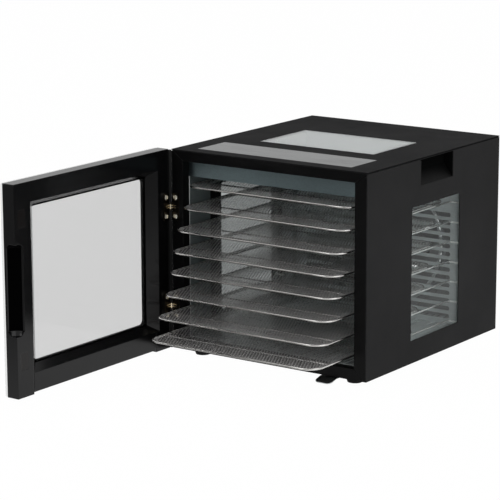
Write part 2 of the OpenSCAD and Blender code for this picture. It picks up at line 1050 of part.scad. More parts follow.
// Two folded runners under the base plate that carry the pan by its edges
module pan_runners() {
    lip_top = pan_top - pan_wall - slide_gap;
    web_x = pan_w / 2 + pan_lip + slide_gap;
    y0 = pan_front + 3;
    color(steel)
        for (i = [0, 1])
            mirror([i, 0, 0]) {
                slab([web_x - pan_lip, y0, lip_top - 1], [web_x + 1, pan_front + pan_d, lip_top]);
                slab([web_x, y0, lip_top - 1], [web_x + 1, pan_front + pan_d, z_base]);
                slab([web_x, y0, z_base - 1], [web_x + runner_flange, pan_front + pan_d, z_base]);
            }
}

// ---- hinges

// A leaf with its outer corners rounded; the pin line is at x = 0
module leaf_plate() {
    difference() {
        translate([leaf_w / 2, 0])
            round_rect(leaf_w, leaf_h, 2);
        for (i = [-1, 1])
            translate([leaf_w / 2 + 1, i * (leaf_h / 2 - 6)])
                circle(1 + run_gap);
    }
}

// Barrels of one leaf, stacked along the pin: steps counts barrel lengths from the middle
module barrels(steps) {
    for (s = steps)
        translate([0, 0, (s - 0.5) * barrel_len + 0.15])
            difference() {
                cylinder(r = barrel_r, h = barrel_len - 0.3);
                translate([0, 0, -1])
                    cylinder(r = pin_r + run_gap, h = barrel_len + 2);
            }
}

// Room for the other leaf's barrels
module barrel_room(steps) {
    for (s = steps)
        translate([0, 0, (s - 0.5) * barrel_len - 0.15])
            cylinder(r = barrel_r + 0.4, h = barrel_len + 0.3);
}

// One leaf in the closed position: side 1 lies on the cabinet, -1 on the door
module hinge_leaf(side, own, other) {
    y_seat = side > 0 ? door_gap / 2 - leaf_t : -door_gap / 2;
    y_neck = side > 0 ? 0 : -door_gap / 2;
    difference() {
        union() {
            translate([0, y_seat + leaf_t, 0])
                rotate([90, 0, 0])
                    linear_extrude(leaf_t)
                        leaf_plate();
            for (s = own)
                translate([0, y_neck, (s - 0.5) * barrel_len + 0.15])
                    cube([barrel_r, door_gap / 2, barrel_len - 0.3]);
            barrels(own);
        }
        barrel_room(other);
        translate([0, 0, -3 * barrel_len])
            cylinder(r = pin_r + run_gap, h = 6 * barrel_len);
        for (i = [-1, 1])
            translate([leaf_w / 2 + 1, y_seat + (side > 0 ? 0 : leaf_t), i * (leaf_h / 2 - 6)])
                rotate([side > 0 ? 90 : -90, 0, 0])
                    countersink();
        for (i = [-1, 1])
            translate([-barrel_r - 1, -5, i > 0 ? 1.5 * barrel_len : -leaf_h])
                cube([2 * barrel_r + 1, 10, leaf_h - 1.5 * barrel_len]);
    }
}

module countersink() {
    translate([0, 0, -1.4])
        cylinder(r1 = 1 + run_gap, r2 = 2.45 + run_gap, h = 1.4);
    cylinder(r = 2.45 + run_gap, h = 3);
}

module at_hinges() {
    for (z = [hinge_low, hinge_high])
        translate([pin_x, pin_y, z])
            children();
}

module hinge_cabinet_leaves() {
    color(brass)
        at_hinges()
            hinge_leaf(1, [-1, 1], [0]);
}

module hinge_door_leaves() {
    color(brass)
        swing()
            at_hinges()
                hinge_leaf(-1, [0], [-1, 1]);
}

module hinge_pins() {
    color(brass)
        at_hinges() {
            translate([0, 0, -1.5 * barrel_len - 0.2])
                cylinder(r = pin_r, h = 3 * barrel_len + 0.4);
            for (i = [0, 1])
                mirror([0, 0, i])
                    translate([0, 0, 1.5 * barrel_len])
                        cylinder(r1 = 1.9, r2 = 1.4, h = 1);
        }
}

module leaf_screws(side) {
    y_seat = side > 0 ? door_gap / 2 - leaf_t : -door_gap / 2 + leaf_t;
    at_hinges()
        for (i = [-1, 1])
            translate([leaf_w / 2 + 1, y_seat, i * (leaf_h / 2 - 6)])
                rotate([side > 0 ? 90 : -90, 0, 0])
                    countersunk(2.4, 1, 9);
}

module hinge_cabinet_screws() {
    color(brass)
        leaf_screws(1);
}

module hinge_door_screws() {
    color(brass)
        swing()
            leaf_screws(-1);
}

// ---- door

// Swings the shut door open about the hinge pins
module swing() {
    translate([pin_x, pin_y, 0])
        rotate([0, 0, -door_open])
            translate([-pin_x, -pin_y, 0])
                children();
}

// A frustum-shaped cut: clear size at the pane, growing to the inner face
module door_bevel() {
    depth = door_recess;
    past = 1 + 1 / depth;
    x = door_win_w / 2;
    z = door_win_h / 2;
    wide = x + bevel_side * past;
    low = z + bevel_low * past;
    high = z + bevel_top * past;
    translate([-door_win_shift, door_in - depth, door_win_z])
        polyhedron(
            points = [
                [-x, 0, -z], [x, 0, -z], [x, 0, z], [-x, 0, z],
                [-wide, depth + 1, -low], [wide, depth + 1, -low],
                [wide, depth + 1, high], [-wide, depth + 1, high]
            ],
            faces = [
                [3, 2, 1, 0], [4, 5, 6, 7], [0, 1, 5, 4], [1, 2, 6, 5], [2, 3, 7, 6], [3, 0, 4, 7]
            ]
        );
}

// A bead along the hinge line that shuts the slit beside the door, left out at the knuckles
module hinge_bead() {
    bead_r = 2;
    root = 2.6;
    room = 1.5 * barrel_len + 1.6;
    difference() {
        translate([pin_x, pin_y, z_base + 1]) {
            cylinder(r = bead_r, h = cab_h - 2);
            slab([-0.5, -root, 0], [bead_r, 0, cab_h - 2]);
        }
        for (z = [hinge_low, hinge_high])
            translate([pin_x, pin_y, z])
                slab([-4, -door_gap / 2, -room], [4, 4, room]);
    }
}

inner_pane_t = 3;
pane_margin = 8;

module door_frame() {
    scoop = grip_len / 2 - grip_end;
    color(black)
        swing()
            difference() {
                union() {
                    slab([-x_side, door_frame_out, z_base], [x_side, door_in, z_top]);
                    hinge_bead();
                }
                door_bevel();
                // clear opening behind the panes
                upright(door_frame_out - 1, door_t)
                    translate([-door_win_shift, door_win_z])
                        round_rect(door_win_w, door_win_h, door_r);
                // seat of the inner pane and its gasket, entered from the front
                upright(door_frame_out - 1, door_in - door_recess - door_frame_out + 1)
                    translate([-door_win_shift, door_win_z])
                        round_rect(door_win_w + 2 * pane_margin, door_win_h + 2 * pane_margin, door_r);
                // air gap along the bottom edge
                slab([-x_side + strip_band, door_frame_out - 1, z_base - 1],
                     [x_side - strip_band, door_in + 1, z_base + relief_h]);
                for (i = [-1, 1])
                    translate([i * (x_side - strip_band) - 0.4, door_in - 1, 0])
                        slab([0, 0, z_base - 1], [0.8, 2, door_win_z - door_win_h / 2 - bevel_low]);
                // finger scoop on the free edge
                translate([x_side, door_in, grip_z]) {
                    translate([0, 0, -scoop])
                        cylinder(r = grip_r, h = 2 * scoop);
                    for (i = [0, 1])
                        mirror([0, 0, i])
                            translate([0, 0, scoop])
                                cylinder(r1 = grip_r, r2 = grip_r - grip_end, h = grip_end);
                }
                each_magnet()
                    slab([-magnet_w / 2 - 0.1, door_in - 6.1, -magnet_h / 2 - 0.1],
                         [magnet_w / 2 + 0.1, door_in + 1, magnet_h / 2 + 0.1]);
                at_hinges()
                    for (i = [-1, 1])
                        translate([leaf_w / 2 + 1, -door_gap / 2 - 8, i * (leaf_h / 2 - 6)])
                            rod_y(0, 9, 1 + run_gap);
            }
}

module each_magnet() {
    for (z = [magnet_low, magnet_high])
        translate([magnet_x, 0, z])
            children();
}

module door_magnets() {
    color([0.12, 0.12, 0.12])
        swing()
            each_magnet()
                slab([-magnet_w / 2, door_in - 6, -magnet_h / 2], [magnet_w / 2, door_in, magnet_h / 2]);
}

module door_front_glass() {
    color([0.1, 0.1, 0.1, 0.6])
        swing()
            upright(door_out, door_glass_t)
                translate([0, z_mid])
                    round_rect(cab_w, cab_h, 3);
}

module door_inner_glass() {
    color(glass)
        swing()
            upright(door_in - door_recess - inner_pane_t, inner_pane_t)
                translate([-door_win_shift, door_win_z])
                    round_rect(door_win_w + 2 * pane_margin - 2 * fit_gap,
                               door_win_h + 2 * pane_margin - 2 * fit_gap, door_r - fit_gap);
}

// Fills the seat between the inner pane and the front glass
module door_gasket() {
    front = door_in - door_recess - inner_pane_t;
    color(black)
        swing()
            upright(door_frame_out, front - door_frame_out)
                translate([-door_win_shift, door_win_z])
                    difference() {
                        round_rect(door_win_w + 2 * pane_margin - 2 * fit_gap,
                                   door_win_h + 2 * pane_margin - 2 * fit_gap, door_r - fit_gap);
                        round_rect(door_win_w, door_win_h, door_r);
                    }
}

// ---- trays

// The bent rim wire, its middle line a rounded rectangle, front at y = 0
module tray_rim() {
    len_y = tray_d - rim_wire;
    straight_x = rim_x - rim_r;
    translate([0, rim_wire / 2, 0]) {
        for (y = [0, len_y])
            translate([0, y, 0])
                rod_x(-straight_x, straight_x, rim_wire / 2);
        for (i = [-1, 1])
            translate([i * rim_x, 0, 0])
                rod_y(rim_r, len_y - rim_r, rim_wire / 2);
        for (i = [0, 1])
            mirror([i, 0, 0]) {
                translate([straight_x, rim_r, 0])
                    wire_bend(rim_r, rim_wire, -90);
                translate([straight_x, len_y - rim_r, 0])
                    wire_bend(rim_r, rim_wire, 0);
            }
    }
}

grid_w = 2 * rim_x - 2;
grid_d = tray_d - rim_wire - 2;
grid_border = 2.2;
grid_slots = floor((grid_w - 2 * grid_border - grid_wire) / grid_pitch);

// How much the corner of the grid shortens a slot whose far edge is at x
function corner_cut(x) =
    let (past = max(0, x - (grid_w / 2 - rim_r)))
        rim_r - sqrt(max(0, rim_r * rim_r - past * past));

// The grid: lengthwise wires between two end bands
module tray_grid() {
    slot_w = grid_pitch - grid_wire;
    translate([0, tray_d / 2, 0])
        linear_extrude(1)
            difference() {
                round_rect(grid_w, grid_d, rim_r);
                for (i = [0:grid_slots - 1]) {
                    x = (i - (grid_slots - 1) / 2) * grid_pitch;
                    cut = corner_cut(abs(x) + slot_w / 2 + grid_border);
                    square_at(x, slot_w, grid_d - 2 * grid_border - 2 * cut);
                }
            }
}

module square_at(x, w, d) {
    translate([x, 0])
        square([w, d], center = true);
}

module tray_rods() {
    reach = rim_x - 1.2;
    for (i = [0:rod_count - 1])
        translate([0, 44 + i * (tray_d - 88) / (rod_count - 1), rod_rise - rod_dia / 2])
            rod_x(-reach, reach, rod_dia / 2);
}

module tray(n) {
    color(chrome)
        translate([0, y_face - pull[n - 1] - rim_wire / 2, tray_z(n)]) {
            tray_rim();
            tray_grid();
            tray_rods();
        }
}

module tray_1() {
    tray(1);
}

module tray_2() {
    tray(2);
}

module tray_3() {
    tray(3);
}

module tray_4() {
    tray(4);
}

module tray_5() {
    tray(5);
}

module tray_6() {
    tray(6);
}

module tray_7() {
    tray(7);
}

module tray_8() {
    tray(8);
}

front_frame();
top_panel();
side_panel_left();
side_panel_right();
rear_panel();
base_plate();
handle_cup_left();
handle_cup_right();
window_left();
window_right();
window_sleeve_left();
window_sleeve_right();
roof_window();
roof_sleeve();
control_glass();
control_tub();
control_board();
liner_left();
liner_right();
liner_floor();
liner_ceiling();
rear_baffle();
rails_left();
rails_right();
rail_strips();
heater_ring();
heater_clips();
fan_shroud();
fan();
fan_nut();
fan_motor();
temperature_probe();
thermal_cutout();
motor_plate();
power_inlet();
crumb_chute();
crumb_pan();
pan_runners();
feet();
foot_screws();
hinge_cabinet_leaves();
hinge_door_leaves();
hinge_pins();
hinge_cabinet_screws();
hinge_door_screws();
door_frame();
door_front_glass();
door_inner_glass();
door_gasket();
door_magnets();
rear_screws();
tray_1();
tray_2();
tray_3();
tray_4();
tray_5();
tray_6();
tray_7();
tray_8();
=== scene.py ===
import math
import bpy
from mathutils import Matrix, Vector


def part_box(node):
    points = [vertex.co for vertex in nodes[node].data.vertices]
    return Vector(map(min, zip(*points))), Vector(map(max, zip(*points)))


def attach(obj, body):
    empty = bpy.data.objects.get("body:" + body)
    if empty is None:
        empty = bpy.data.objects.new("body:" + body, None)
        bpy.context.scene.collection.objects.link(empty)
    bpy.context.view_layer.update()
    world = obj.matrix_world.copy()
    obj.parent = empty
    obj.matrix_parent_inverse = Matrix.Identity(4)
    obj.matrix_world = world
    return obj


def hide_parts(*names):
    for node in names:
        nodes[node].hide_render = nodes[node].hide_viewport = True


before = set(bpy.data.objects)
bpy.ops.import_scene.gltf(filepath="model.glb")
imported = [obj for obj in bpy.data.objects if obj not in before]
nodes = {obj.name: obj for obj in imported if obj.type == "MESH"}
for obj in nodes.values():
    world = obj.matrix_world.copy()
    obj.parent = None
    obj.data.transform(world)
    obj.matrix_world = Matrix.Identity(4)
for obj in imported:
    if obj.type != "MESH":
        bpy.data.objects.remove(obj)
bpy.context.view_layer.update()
hingePin = (-0.1735, -0.19075)      # the upright line that the door turns about
print("frame loaded:", len(nodes), "CAD nodes")

# ---- camera

camera = {
    "place": (1.8554, -2.8518, 0.9060),
    "turn": 35.292,       # degrees about the upright
    "tilt": 12.561,       # degrees below level
    "roll": -0.172,
    "lens": 164.47,
}

bpy.ops.object.camera_add(location=camera["place"])
cameraObject = bpy.context.object
cameraObject.name = "studioCamera"
turned = Matrix.Rotation(math.radians(camera["turn"]), 4, "Z")
tilted = Matrix.Rotation(math.radians(90 - camera["tilt"]), 4, "X")
rolled = Matrix.Rotation(math.radians(camera["roll"]), 4, "Z")
cameraObject.matrix_world = Matrix.Translation(camera["place"]) @ turned @ tilted @ rolled
cameraObject.data.lens = camera["lens"]
cameraObject.data.sensor_width = 36
cameraObject.data.clip_end = 50
bpy.context.scene.camera = cameraObject
bpy.context.scene.view_settings.view_transform = "Standard"
print("camera set")

# ---- node helpers


def mathOf(tree, kind, a, b=0.0):
    node = tree.nodes.new("ShaderNodeMath")
    node.operation = kind
    for socket, value in zip(node.inputs, (a, b)):
        if isinstance(value, (int, float)):
            socket.default_value = value
        else:
            tree.links.new(value, socket)
    return node.outputs[0]


def vectorOf(tree, kind, vector, other=None):
    node = tree.nodes.new("ShaderNodeVectorMath")
    node.operation = kind
    tree.links.new(vector, node.inputs[0])
    if isinstance(other, tuple):
        node.inputs[1].default_value = other
    elif other is not None:
        tree.links.new(other, node.inputs[1])
    return node.outputs["Value" if kind in ("DOT_PRODUCT", "LENGTH") else "Vector"]


def spread(tree, value, low, high, toLow=0.0, toHigh=1.0, curve="LINEAR"):
    node = tree.nodes.new("ShaderNodeMapRange")
    node.interpolation_type = curve
    node.inputs["From Min"].default_value = low
    node.inputs["From Max"].default_value = high
    for name, end in (("To Min", toLow), ("To Max", toHigh)):
        if isinstance(end, (int, float)):
            node.inputs[name].default_value = end
        else:
            tree.links.new(end, node.inputs[name])
    tree.links.new(value, node.inputs["Value"])
    return node.outputs[0]


def placeOn(tree, output="Object"):
    return tree.nodes.new("ShaderNodeTexCoord").outputs[output]


def splitPlace(tree, output):
    split = tree.nodes.new("ShaderNodeSeparateXYZ")
    tree.links.new(placeOn(tree, output), split.inputs[0])
    return split.outputs


def mixShaders(tree, amount, one, two):
    mix = tree.nodes.new("ShaderNodeMixShader")
    for source, socket in zip((amount, one, two), mix.inputs):
        tree.links.new(source, socket)
    return mix.outputs[0]


def pathSum(tree, *rays):
    # one where any of these kinds of ray looks, else nought
    path = tree.nodes.new("ShaderNodeLightPath")
    socket = path.outputs[rays[0]]
    for ray in rays[1:]:
        socket = mathOf(tree, "MAXIMUM", socket, path.outputs[ray])
    return socket


def startMaterial(name):
    mat = bpy.data.materials.new(name)
    mat.use_nodes = True
    tree = mat.node_tree
    tree.nodes.clear()
    out = tree.nodes.new("ShaderNodeOutputMaterial")
    shader = tree.nodes.new("ShaderNodeBsdfPrincipled")
    tree.links.new(shader.outputs[0], out.inputs["Surface"])
    return mat, tree, shader


def showInstead(tree, surface):
    out = next(node for node in tree.nodes if node.type == "OUTPUT_MATERIAL")
    tree.links.new(surface, out.inputs["Surface"])


# ---- studio

studio = {
    "floorSize": 14.0,
    "floorColour": (0.9, 0.9, 0.9, 1), "floorRough": 0.9, "floorShine": 0.1,
    "floorShow": 0.99,          # how much of the floor is plain white to the eye
    "floorNear": 0.35, "floorFar": 1.3, "floorDim": 0.3,     # how gloss sees it fade with distance
    "ambient": 0.62,            # light of the room on diffuse surfaces
    "frontDark": 0.16,          # what gloss sees towards the camera's side
    "brightWay": (0.75, 1.0, 0.7), "dimToBright": (-0.55, 0.2),     # where gloss sees the room turn white
    "aim": (0, 0, 0.15),
    "lamps": {
        "keyLight": {"place": (-1.6, -2.4, 2.6), "size": 2.2, "power": 42},
        "fillLight": {"place": (2.6, -0.6, 1.9), "size": 2.0, "power": 16},
        "topLight": {"place": (0.2, 0.6, 3.0), "size": 2.4, "power": 22},
    },
}


def addSoftBox(name, place, size, power):
    bpy.ops.object.light_add(type="AREA", location=place)
    lamp = bpy.context.object
    lamp.name = name
    lamp.data.size = size
    lamp.data.energy = power
    lamp.rotation_euler = (Vector(studio["aim"]) - Vector(place)).to_track_quat("-Z", "Y").to_euler()


def roomLight(tree, strength, shade=0.8):
    light = tree.nodes.new("ShaderNodeBackground")
    light.inputs["Color"].default_value = (shade, shade, shade, 1)
    if isinstance(strength, float):
        light.inputs["Strength"].default_value = strength
    else:
        tree.links.new(strength, light.inputs["Strength"])
    return light.outputs[0]


def buildRoom():
    world = bpy.data.worlds.new("studioRoom")
    bpy.context.scene.world = world
    world.use_nodes = True
    tree = world.node_tree
    tree.nodes.clear()
    out = tree.nodes.new("ShaderNodeOutputWorld")
    # gloss sees a room that is white behind the object, overhead and to the right, and dim where the camera stands
    way = vectorOf(tree, "DOT_PRODUCT", placeOn(tree, "Generated"), studio["brightWay"])
    seen = roomLight(tree, spread(tree, way, *studio["dimToBright"], studio["frontDark"], 1.0, "SMOOTHSTEP"))
    gloss = mixShaders(tree, pathSum(tree, "Is Glossy Ray"), roomLight(tree, studio["ambient"]), seen)
    plain = roomLight(tree, 1.0, shade=1.0)
    look = mixShaders(tree, pathSum(tree, "Is Camera Ray", "Is Transmission Ray"), gloss, plain)
    tree.links.new(look, out.inputs["Surface"])


def buildFloor():
    bpy.ops.mesh.primitive_plane_add(size=studio["floorSize"], location=(0, 0, 0))
    floor = bpy.context.object
    floor.name = "studioFloor"
    mat, tree, paper = startMaterial("palePaper")
    paper.inputs["Base Color"].default_value = studio["floorColour"]
    paper.inputs["Roughness"].default_value = studio["floorRough"]
    paper.inputs["Specular IOR Level"].default_value = studio["floorShine"]
    # plain white to the eye, while gloss sees it fade with distance
    shine = tree.nodes.new("ShaderNodeEmission")
    fade = spread(tree, vectorOf(tree, "LENGTH", placeOn(tree)), studio["floorNear"], studio["floorFar"],
                  1.0, studio["floorDim"], "SMOOTHSTEP")
    clear = pathSum(tree, "Is Camera Ray", "Is Transmission Ray")
    tree.links.new(mathOf(tree, "MAXIMUM", fade, clear), shine.inputs["Strength"])
    eyes = pathSum(tree, "Is Camera Ray", "Is Glossy Ray", "Is Transmission Ray")
    show = mathOf(tree, "MULTIPLY", eyes, studio["floorShow"])
    showInstead(tree, mixShaders(tree, show, paper.outputs[0], shine.outputs[0]))
    floor.data.materials.append(mat)


buildRoom()
buildFloor()
for lampName, settings in studio["lamps"].items():
    addSoftBox(lampName, **settings)
print("studio lit")

# ---- shared surface effects


def newEffect(name, takes, gives):
    # a node group whose inputs and outputs have plain names
    group = bpy.data.node_groups.new(name, "ShaderNodeTree")
    for label, kind, value in takes:
        socket = group.interface.new_socket(label, in_out="INPUT", socket_type=kind)
        socket.default_value = value
    for label, kind in gives:
        group.interface.new_socket(label, in_out="OUTPUT", socket_type=kind)
    return group, group.nodes.new("NodeGroupInput"), group.nodes.new("NodeGroupOutput")


def noiseAt(tree, vector, scale, detail, rough):
    node = tree.nodes.new("ShaderNodeTexNoise")
    node.inputs["Detail"].default_value = detail
    node.inputs["Roughness"].default_value = rough
    if isinstance(scale, (int, float)):
        node.inputs["Scale"].default_value = scale
    else:
        tree.links.new(scale, node.inputs["Scale"])
    tree.links.new(vector, node.inputs["Vector"])
    return node.outputs["Fac"]


def buildGrain():
    # orange-peel and pin-point grain of a sprayed or moulded skin
    group, takes, gives = newEffect(
        "sprayGrain",
        [("Size", "NodeSocketFloat", 900.0), ("Depth", "NodeSocketFloat", 0.5)],
        [("Height", "NodeSocketFloat"), ("Tone", "NodeSocketFloat")],
    )
    place = placeOn(group)
    fine = noiseAt(group, place, takes.outputs["Size"], 2.0, 0.5)
    broad = noiseAt(group, place, mathOf(group, "MULTIPLY", takes.outputs["Size"], 0.12), 3.0, 0.6)
    both = mathOf(group, "ADD", fine, mathOf(group, "MULTIPLY", broad, 0.7))
    group.links.new(mathOf(group, "MULTIPLY", both, takes.outputs["Depth"]), gives.inputs["Height"])
    cloud = noiseAt(group, place, 7.0, 4.0, 0.55)
    group.links.new(spread(group, cloud, 0.3, 0.7), gives.inputs["Tone"])
    return group


def buildBrush():
    # fine drawn lines in rolled or brushed sheet
    group, takes, gives = newEffect(
        "drawnLines",
        [("Stretch", "NodeSocketVector", (6.0, 400.0, 400.0)), ("Depth", "NodeSocketFloat", 0.4)],
        [("Height", "NodeSocketFloat"), ("Tone", "NodeSocketFloat")],
    )
    place = placeOn(group)
    lines = noiseAt(group, vectorOf(group, "MULTIPLY", place, takes.outputs["Stretch"]), 1.0, 4.0, 0.7)
    group.links.new(mathOf(group, "MULTIPLY", lines, takes.outputs["Depth"]), gives.inputs["Height"])
    cloud = noiseAt(group, place, 5.0, 3.0, 0.5)
    tone = mathOf(group, "ADD", mathOf(group, "MULTIPLY", lines, 0.6), mathOf(group, "MULTIPLY", cloud, 0.4))
    group.links.new(spread(group, tone, 0.35, 0.65), gives.inputs["Tone"])
    return group


def buildEdges():
    # a small round on every sharp edge, and a paler colour along it: partly wear where a hand or cloth has rubbed it,
    # partly painted highlight
    group, takes, gives = newEffect(
        "roundedEdges",
        [("Radius", "NodeSocketFloat", 0.0006), ("Wear", "NodeSocketFloat", 0.5)],
        [("Normal", "NodeSocketVector"), ("Mask", "NodeSocketFloat")],
    )
    bevel = group.nodes.new("ShaderNodeBevel")
    bevel.samples = 4
    group.links.new(takes.outputs["Radius"], bevel.inputs["Radius"])
    group.links.new(bevel.outputs["Normal"], gives.inputs["Normal"])
    flat = group.nodes.new("ShaderNodeNewGeometry").outputs["Normal"]
    turned = mathOf(group, "SUBTRACT", 1.0, vectorOf(group, "DOT_PRODUCT", bevel.outputs["Normal"], flat))
    broken = spread(group, noiseAt(group, placeOn(group), 120.0, 3.0, 0.7), 0.42, 0.62)
    brightened = mathOf(group, "MULTIPLY", spread(group, turned, 0.04, 0.3), broken)
    group.links.new(mathOf(group, "MULTIPLY", brightened, takes.outputs["Wear"]), gives.inputs["Mask"])
    return group


def buildDust():
    # a thin film that settles on what faces up
    group, takes, gives = newEffect(
        "settledDust",
        [("Amount", "NodeSocketFloat", 0.3)],
        [("Mask", "NodeSocketFloat")],
    )
    facing = group.nodes.new("ShaderNodeSeparateXYZ")
    group.links.new(group.nodes.new("ShaderNodeNewGeometry").outputs["Normal"], facing.inputs[0])
    patches = spread(group, noiseAt(group, placeOn(group), 16.0, 5.0, 0.65), 0.35, 0.75)
    up = spread(group, facing.outputs["Z"], 0.3, 1.0)
    film = mathOf(group, "MULTIPLY", mathOf(group, "MULTIPLY", up, patches), takes.outputs["Amount"])
    group.links.new(film, gives.inputs["Mask"])
    return group


def buildSmears():
    # faint wipe marks and finger grease that change how sharp a gloss is
    group, takes, gives = newEffect(
        "wipeMarks",
        [("Low", "NodeSocketFloat", 0.05), ("High", "NodeSocketFloat", 0.2)],
        [("Roughness", "NodeSocketFloat")],
    )
    wiped = noiseAt(group, vectorOf(group, "MULTIPLY", placeOn(group), (9.0, 30.0, 14.0)), 1.0, 5.0, 0.65)
    rough = spread(group, wiped, 0.35, 0.75, takes.outputs["Low"], takes.outputs["High"])
    group.links.new(rough, gives.inputs["Roughness"])
    return group


def inside(tree, value, middle, half):
    # one where the value lies within half of the middle
    off = mathOf(tree, "ABSOLUTE", mathOf(tree, "SUBTRACT", value, middle))
    return mathOf(tree, "LESS_THAN", off, half)


def inArea(tree, place, area):
    # one inside an upright rectangle that is seen from the side
    across, up = (inside(tree, place[axis], *area[axis]) for axis in ("Y", "Z"))
    return mathOf(tree, "MULTIPLY", across, up)


# where the painted light and shade below lie, in metres
paintedLight = {
    "joint": {"Y": (-0.35974, 0.1267), "Z": (0.16515, 0.11435)},    # middle and half, round the inner pane
    "grip": {"Y": (-0.55, 0.05), "Z": (0.1645, 0.066)},
    "gripFaces": {"X": 0.985, "Y": 0.985, "Z": 0.5},                # only faces that turn away from all three
    # from here on, where a painted tone begins and where it is full
    "cupHeight": (0.272, 0.293),
    "shadeDepth": (-0.27, -0.02),
    "rimWidth": (0.105, 0.135), "rimDepth": (-0.16, -0.1),
    "railWidth": (0.1495, 0.1525),
}


def newMask(name):
    group, _, gives = newEffect(name, [], [("Mask", "NodeSocketFloat")])
    return group, splitPlace(group, "Object"), gives.inputs["Mask"]


def buildDoorShade():
    # painted shade: a dark band on the moulding round the inner pane, and a dark, dull hollow in the grip
    group, place, mask = newMask("doorShade")
    joint = inArea(group, place, paintedLight["joint"])
    hollow = inArea(group, place, paintedLight["grip"])
    face = splitPlace(group, "Normal")
    for axis, most in paintedLight["gripFaces"].items():
        hollow = mathOf(group, "MULTIPLY", hollow, inside(group, face[axis], 0.0, most))
    group.links.new(mathOf(group, "MAXIMUM", joint, hollow), mask)
    return group


def buildCupShading():
    # painted light and shade: the hand opening's colour grows paler towards its roof, which is also duller than its
    # floor
    group, place, mask = newMask("cupShading")
    group.links.new(spread(group, place["Z"], *paintedLight["cupHeight"]), mask)
    return group


def buildChamberShade():
    # painted shade: the wire is darker towards the back of the chamber
    group, place, mask = newMask("chamberShade")
    group.links.new(spread(group, place["Y"], *paintedLight["shadeDepth"]), mask)
    return group


def buildRimHighlight():
    # painted light and shade: the rims are pale at the front corner bends and darker elsewhere
    group, place, mask = newMask("rimHighlight")
    across = spread(group, mathOf(group, "ABSOLUTE", place["X"]), *paintedLight["rimWidth"])
    near = spread(group, place["Y"], *paintedLight["rimDepth"], 1.0, 0.0)
    group.links.new(mathOf(group, "MULTIPLY", across, near), mask)
    return group


def buildRailEnds():
    # the rails' ends catch the light that comes in by the side windows
    group, place, mask = newMask("railEnds")
    group.links.new(spread(group, mathOf(group, "ABSOLUTE", place["X"]), *paintedLight["railWidth"]), mask)
    return group


effects = {
    "doorShade": buildDoorShade(),
    "cupShading": buildCupShading(),
    "chamberShade": buildChamberShade(),
    "rimHighlight": buildRimHighlight(),
    "railEnds": buildRailEnds(),
    "grain": buildGrain(),
    "brush": buildBrush(),
    "edges": buildEdges(),
    "dust": buildDust(),
    "smears": buildSmears(),
}


def useEffect(tree, name, **values):
    node = tree.nodes.new("ShaderNodeGroup")
    node.node_tree = effects[name]
    for label, value in values.items():
        node.inputs[label].default_value = value
    return node.outputs


def mixColour(tree, amount, one, two):
    node = tree.nodes.new("ShaderNodeMix")
    node.data_type = "RGBA"
    tree.links.new(amount, node.inputs[0])
    for index, colour in ((6, one), (7, two)):      # the node's two colour inputs
        if isinstance(colour, tuple):
            node.inputs[index].default_value = (*colour, 1)
        else:
            tree.links.new(colour, node.inputs[index])
    return node.outputs[2]


def bumpFrom(tree, height, strength, distance, normal):
    node = tree.nodes.new("ShaderNodeBump")
    node.inputs["Strength"].default_value = strength
    node.inputs["Distance"].default_value = distance
    tree.links.new(height, node.inputs["Height"])
    tree.links.new(normal, node.inputs["Normal"])
    return node.outputs[0]


dustColour = (0.16, 0.155, 0.15)
cutEdgeHighlight = (0.85, 0.86, 0.86)      # bare front edges of the liner's sheets, painted pale as a highlight


def sprayedOrMoulded(name, look):
    # painted sheet, moulded plastic and rubber
    mat, tree, shader = startMaterial(name)
    grain = useEffect(tree, "grain", Size=look["grainSize"], Depth=1.0)
    edges = useEffect(tree, "edges", Radius=look["edge"], Wear=look["wearAndHighlight"])
    dust = useEffect(tree, "dust", Amount=look["dust"])
    body = mixColour(tree, grain["Tone"], look["colour"], look["shade"])
    wornAndLit = mixColour(tree, edges["Mask"], body, look["brightened"])
    colour = mixColour(tree, dust["Mask"], wornAndLit, dustColour)
    shader.inputs["Specular IOR Level"].default_value = look["shine"]
    # painted light and shade from the look's mask, which also takes away the shine
    if "paintedLight" in look:
        mark = useEffect(tree, look["paintedLight"])["Mask"]
        colour = mixColour(tree, mark, colour, look["paintedLightColour"])
        tree.links.new(spread(tree, mark, 0.0, 1.0, look["shine"], 0.0), shader.inputs["Specular IOR Level"])
    tree.links.new(colour, shader.inputs["Base Color"])
    low, high = look["rough"]
    tree.links.new(spread(tree, grain["Tone"], 0.0, 1.0, low, high), shader.inputs["Roughness"])
    normal = bumpFrom(tree, grain["Height"], look["bump"], 0.0004, edges["Normal"])
    tree.links.new(normal, shader.inputs["Normal"])
    return mat


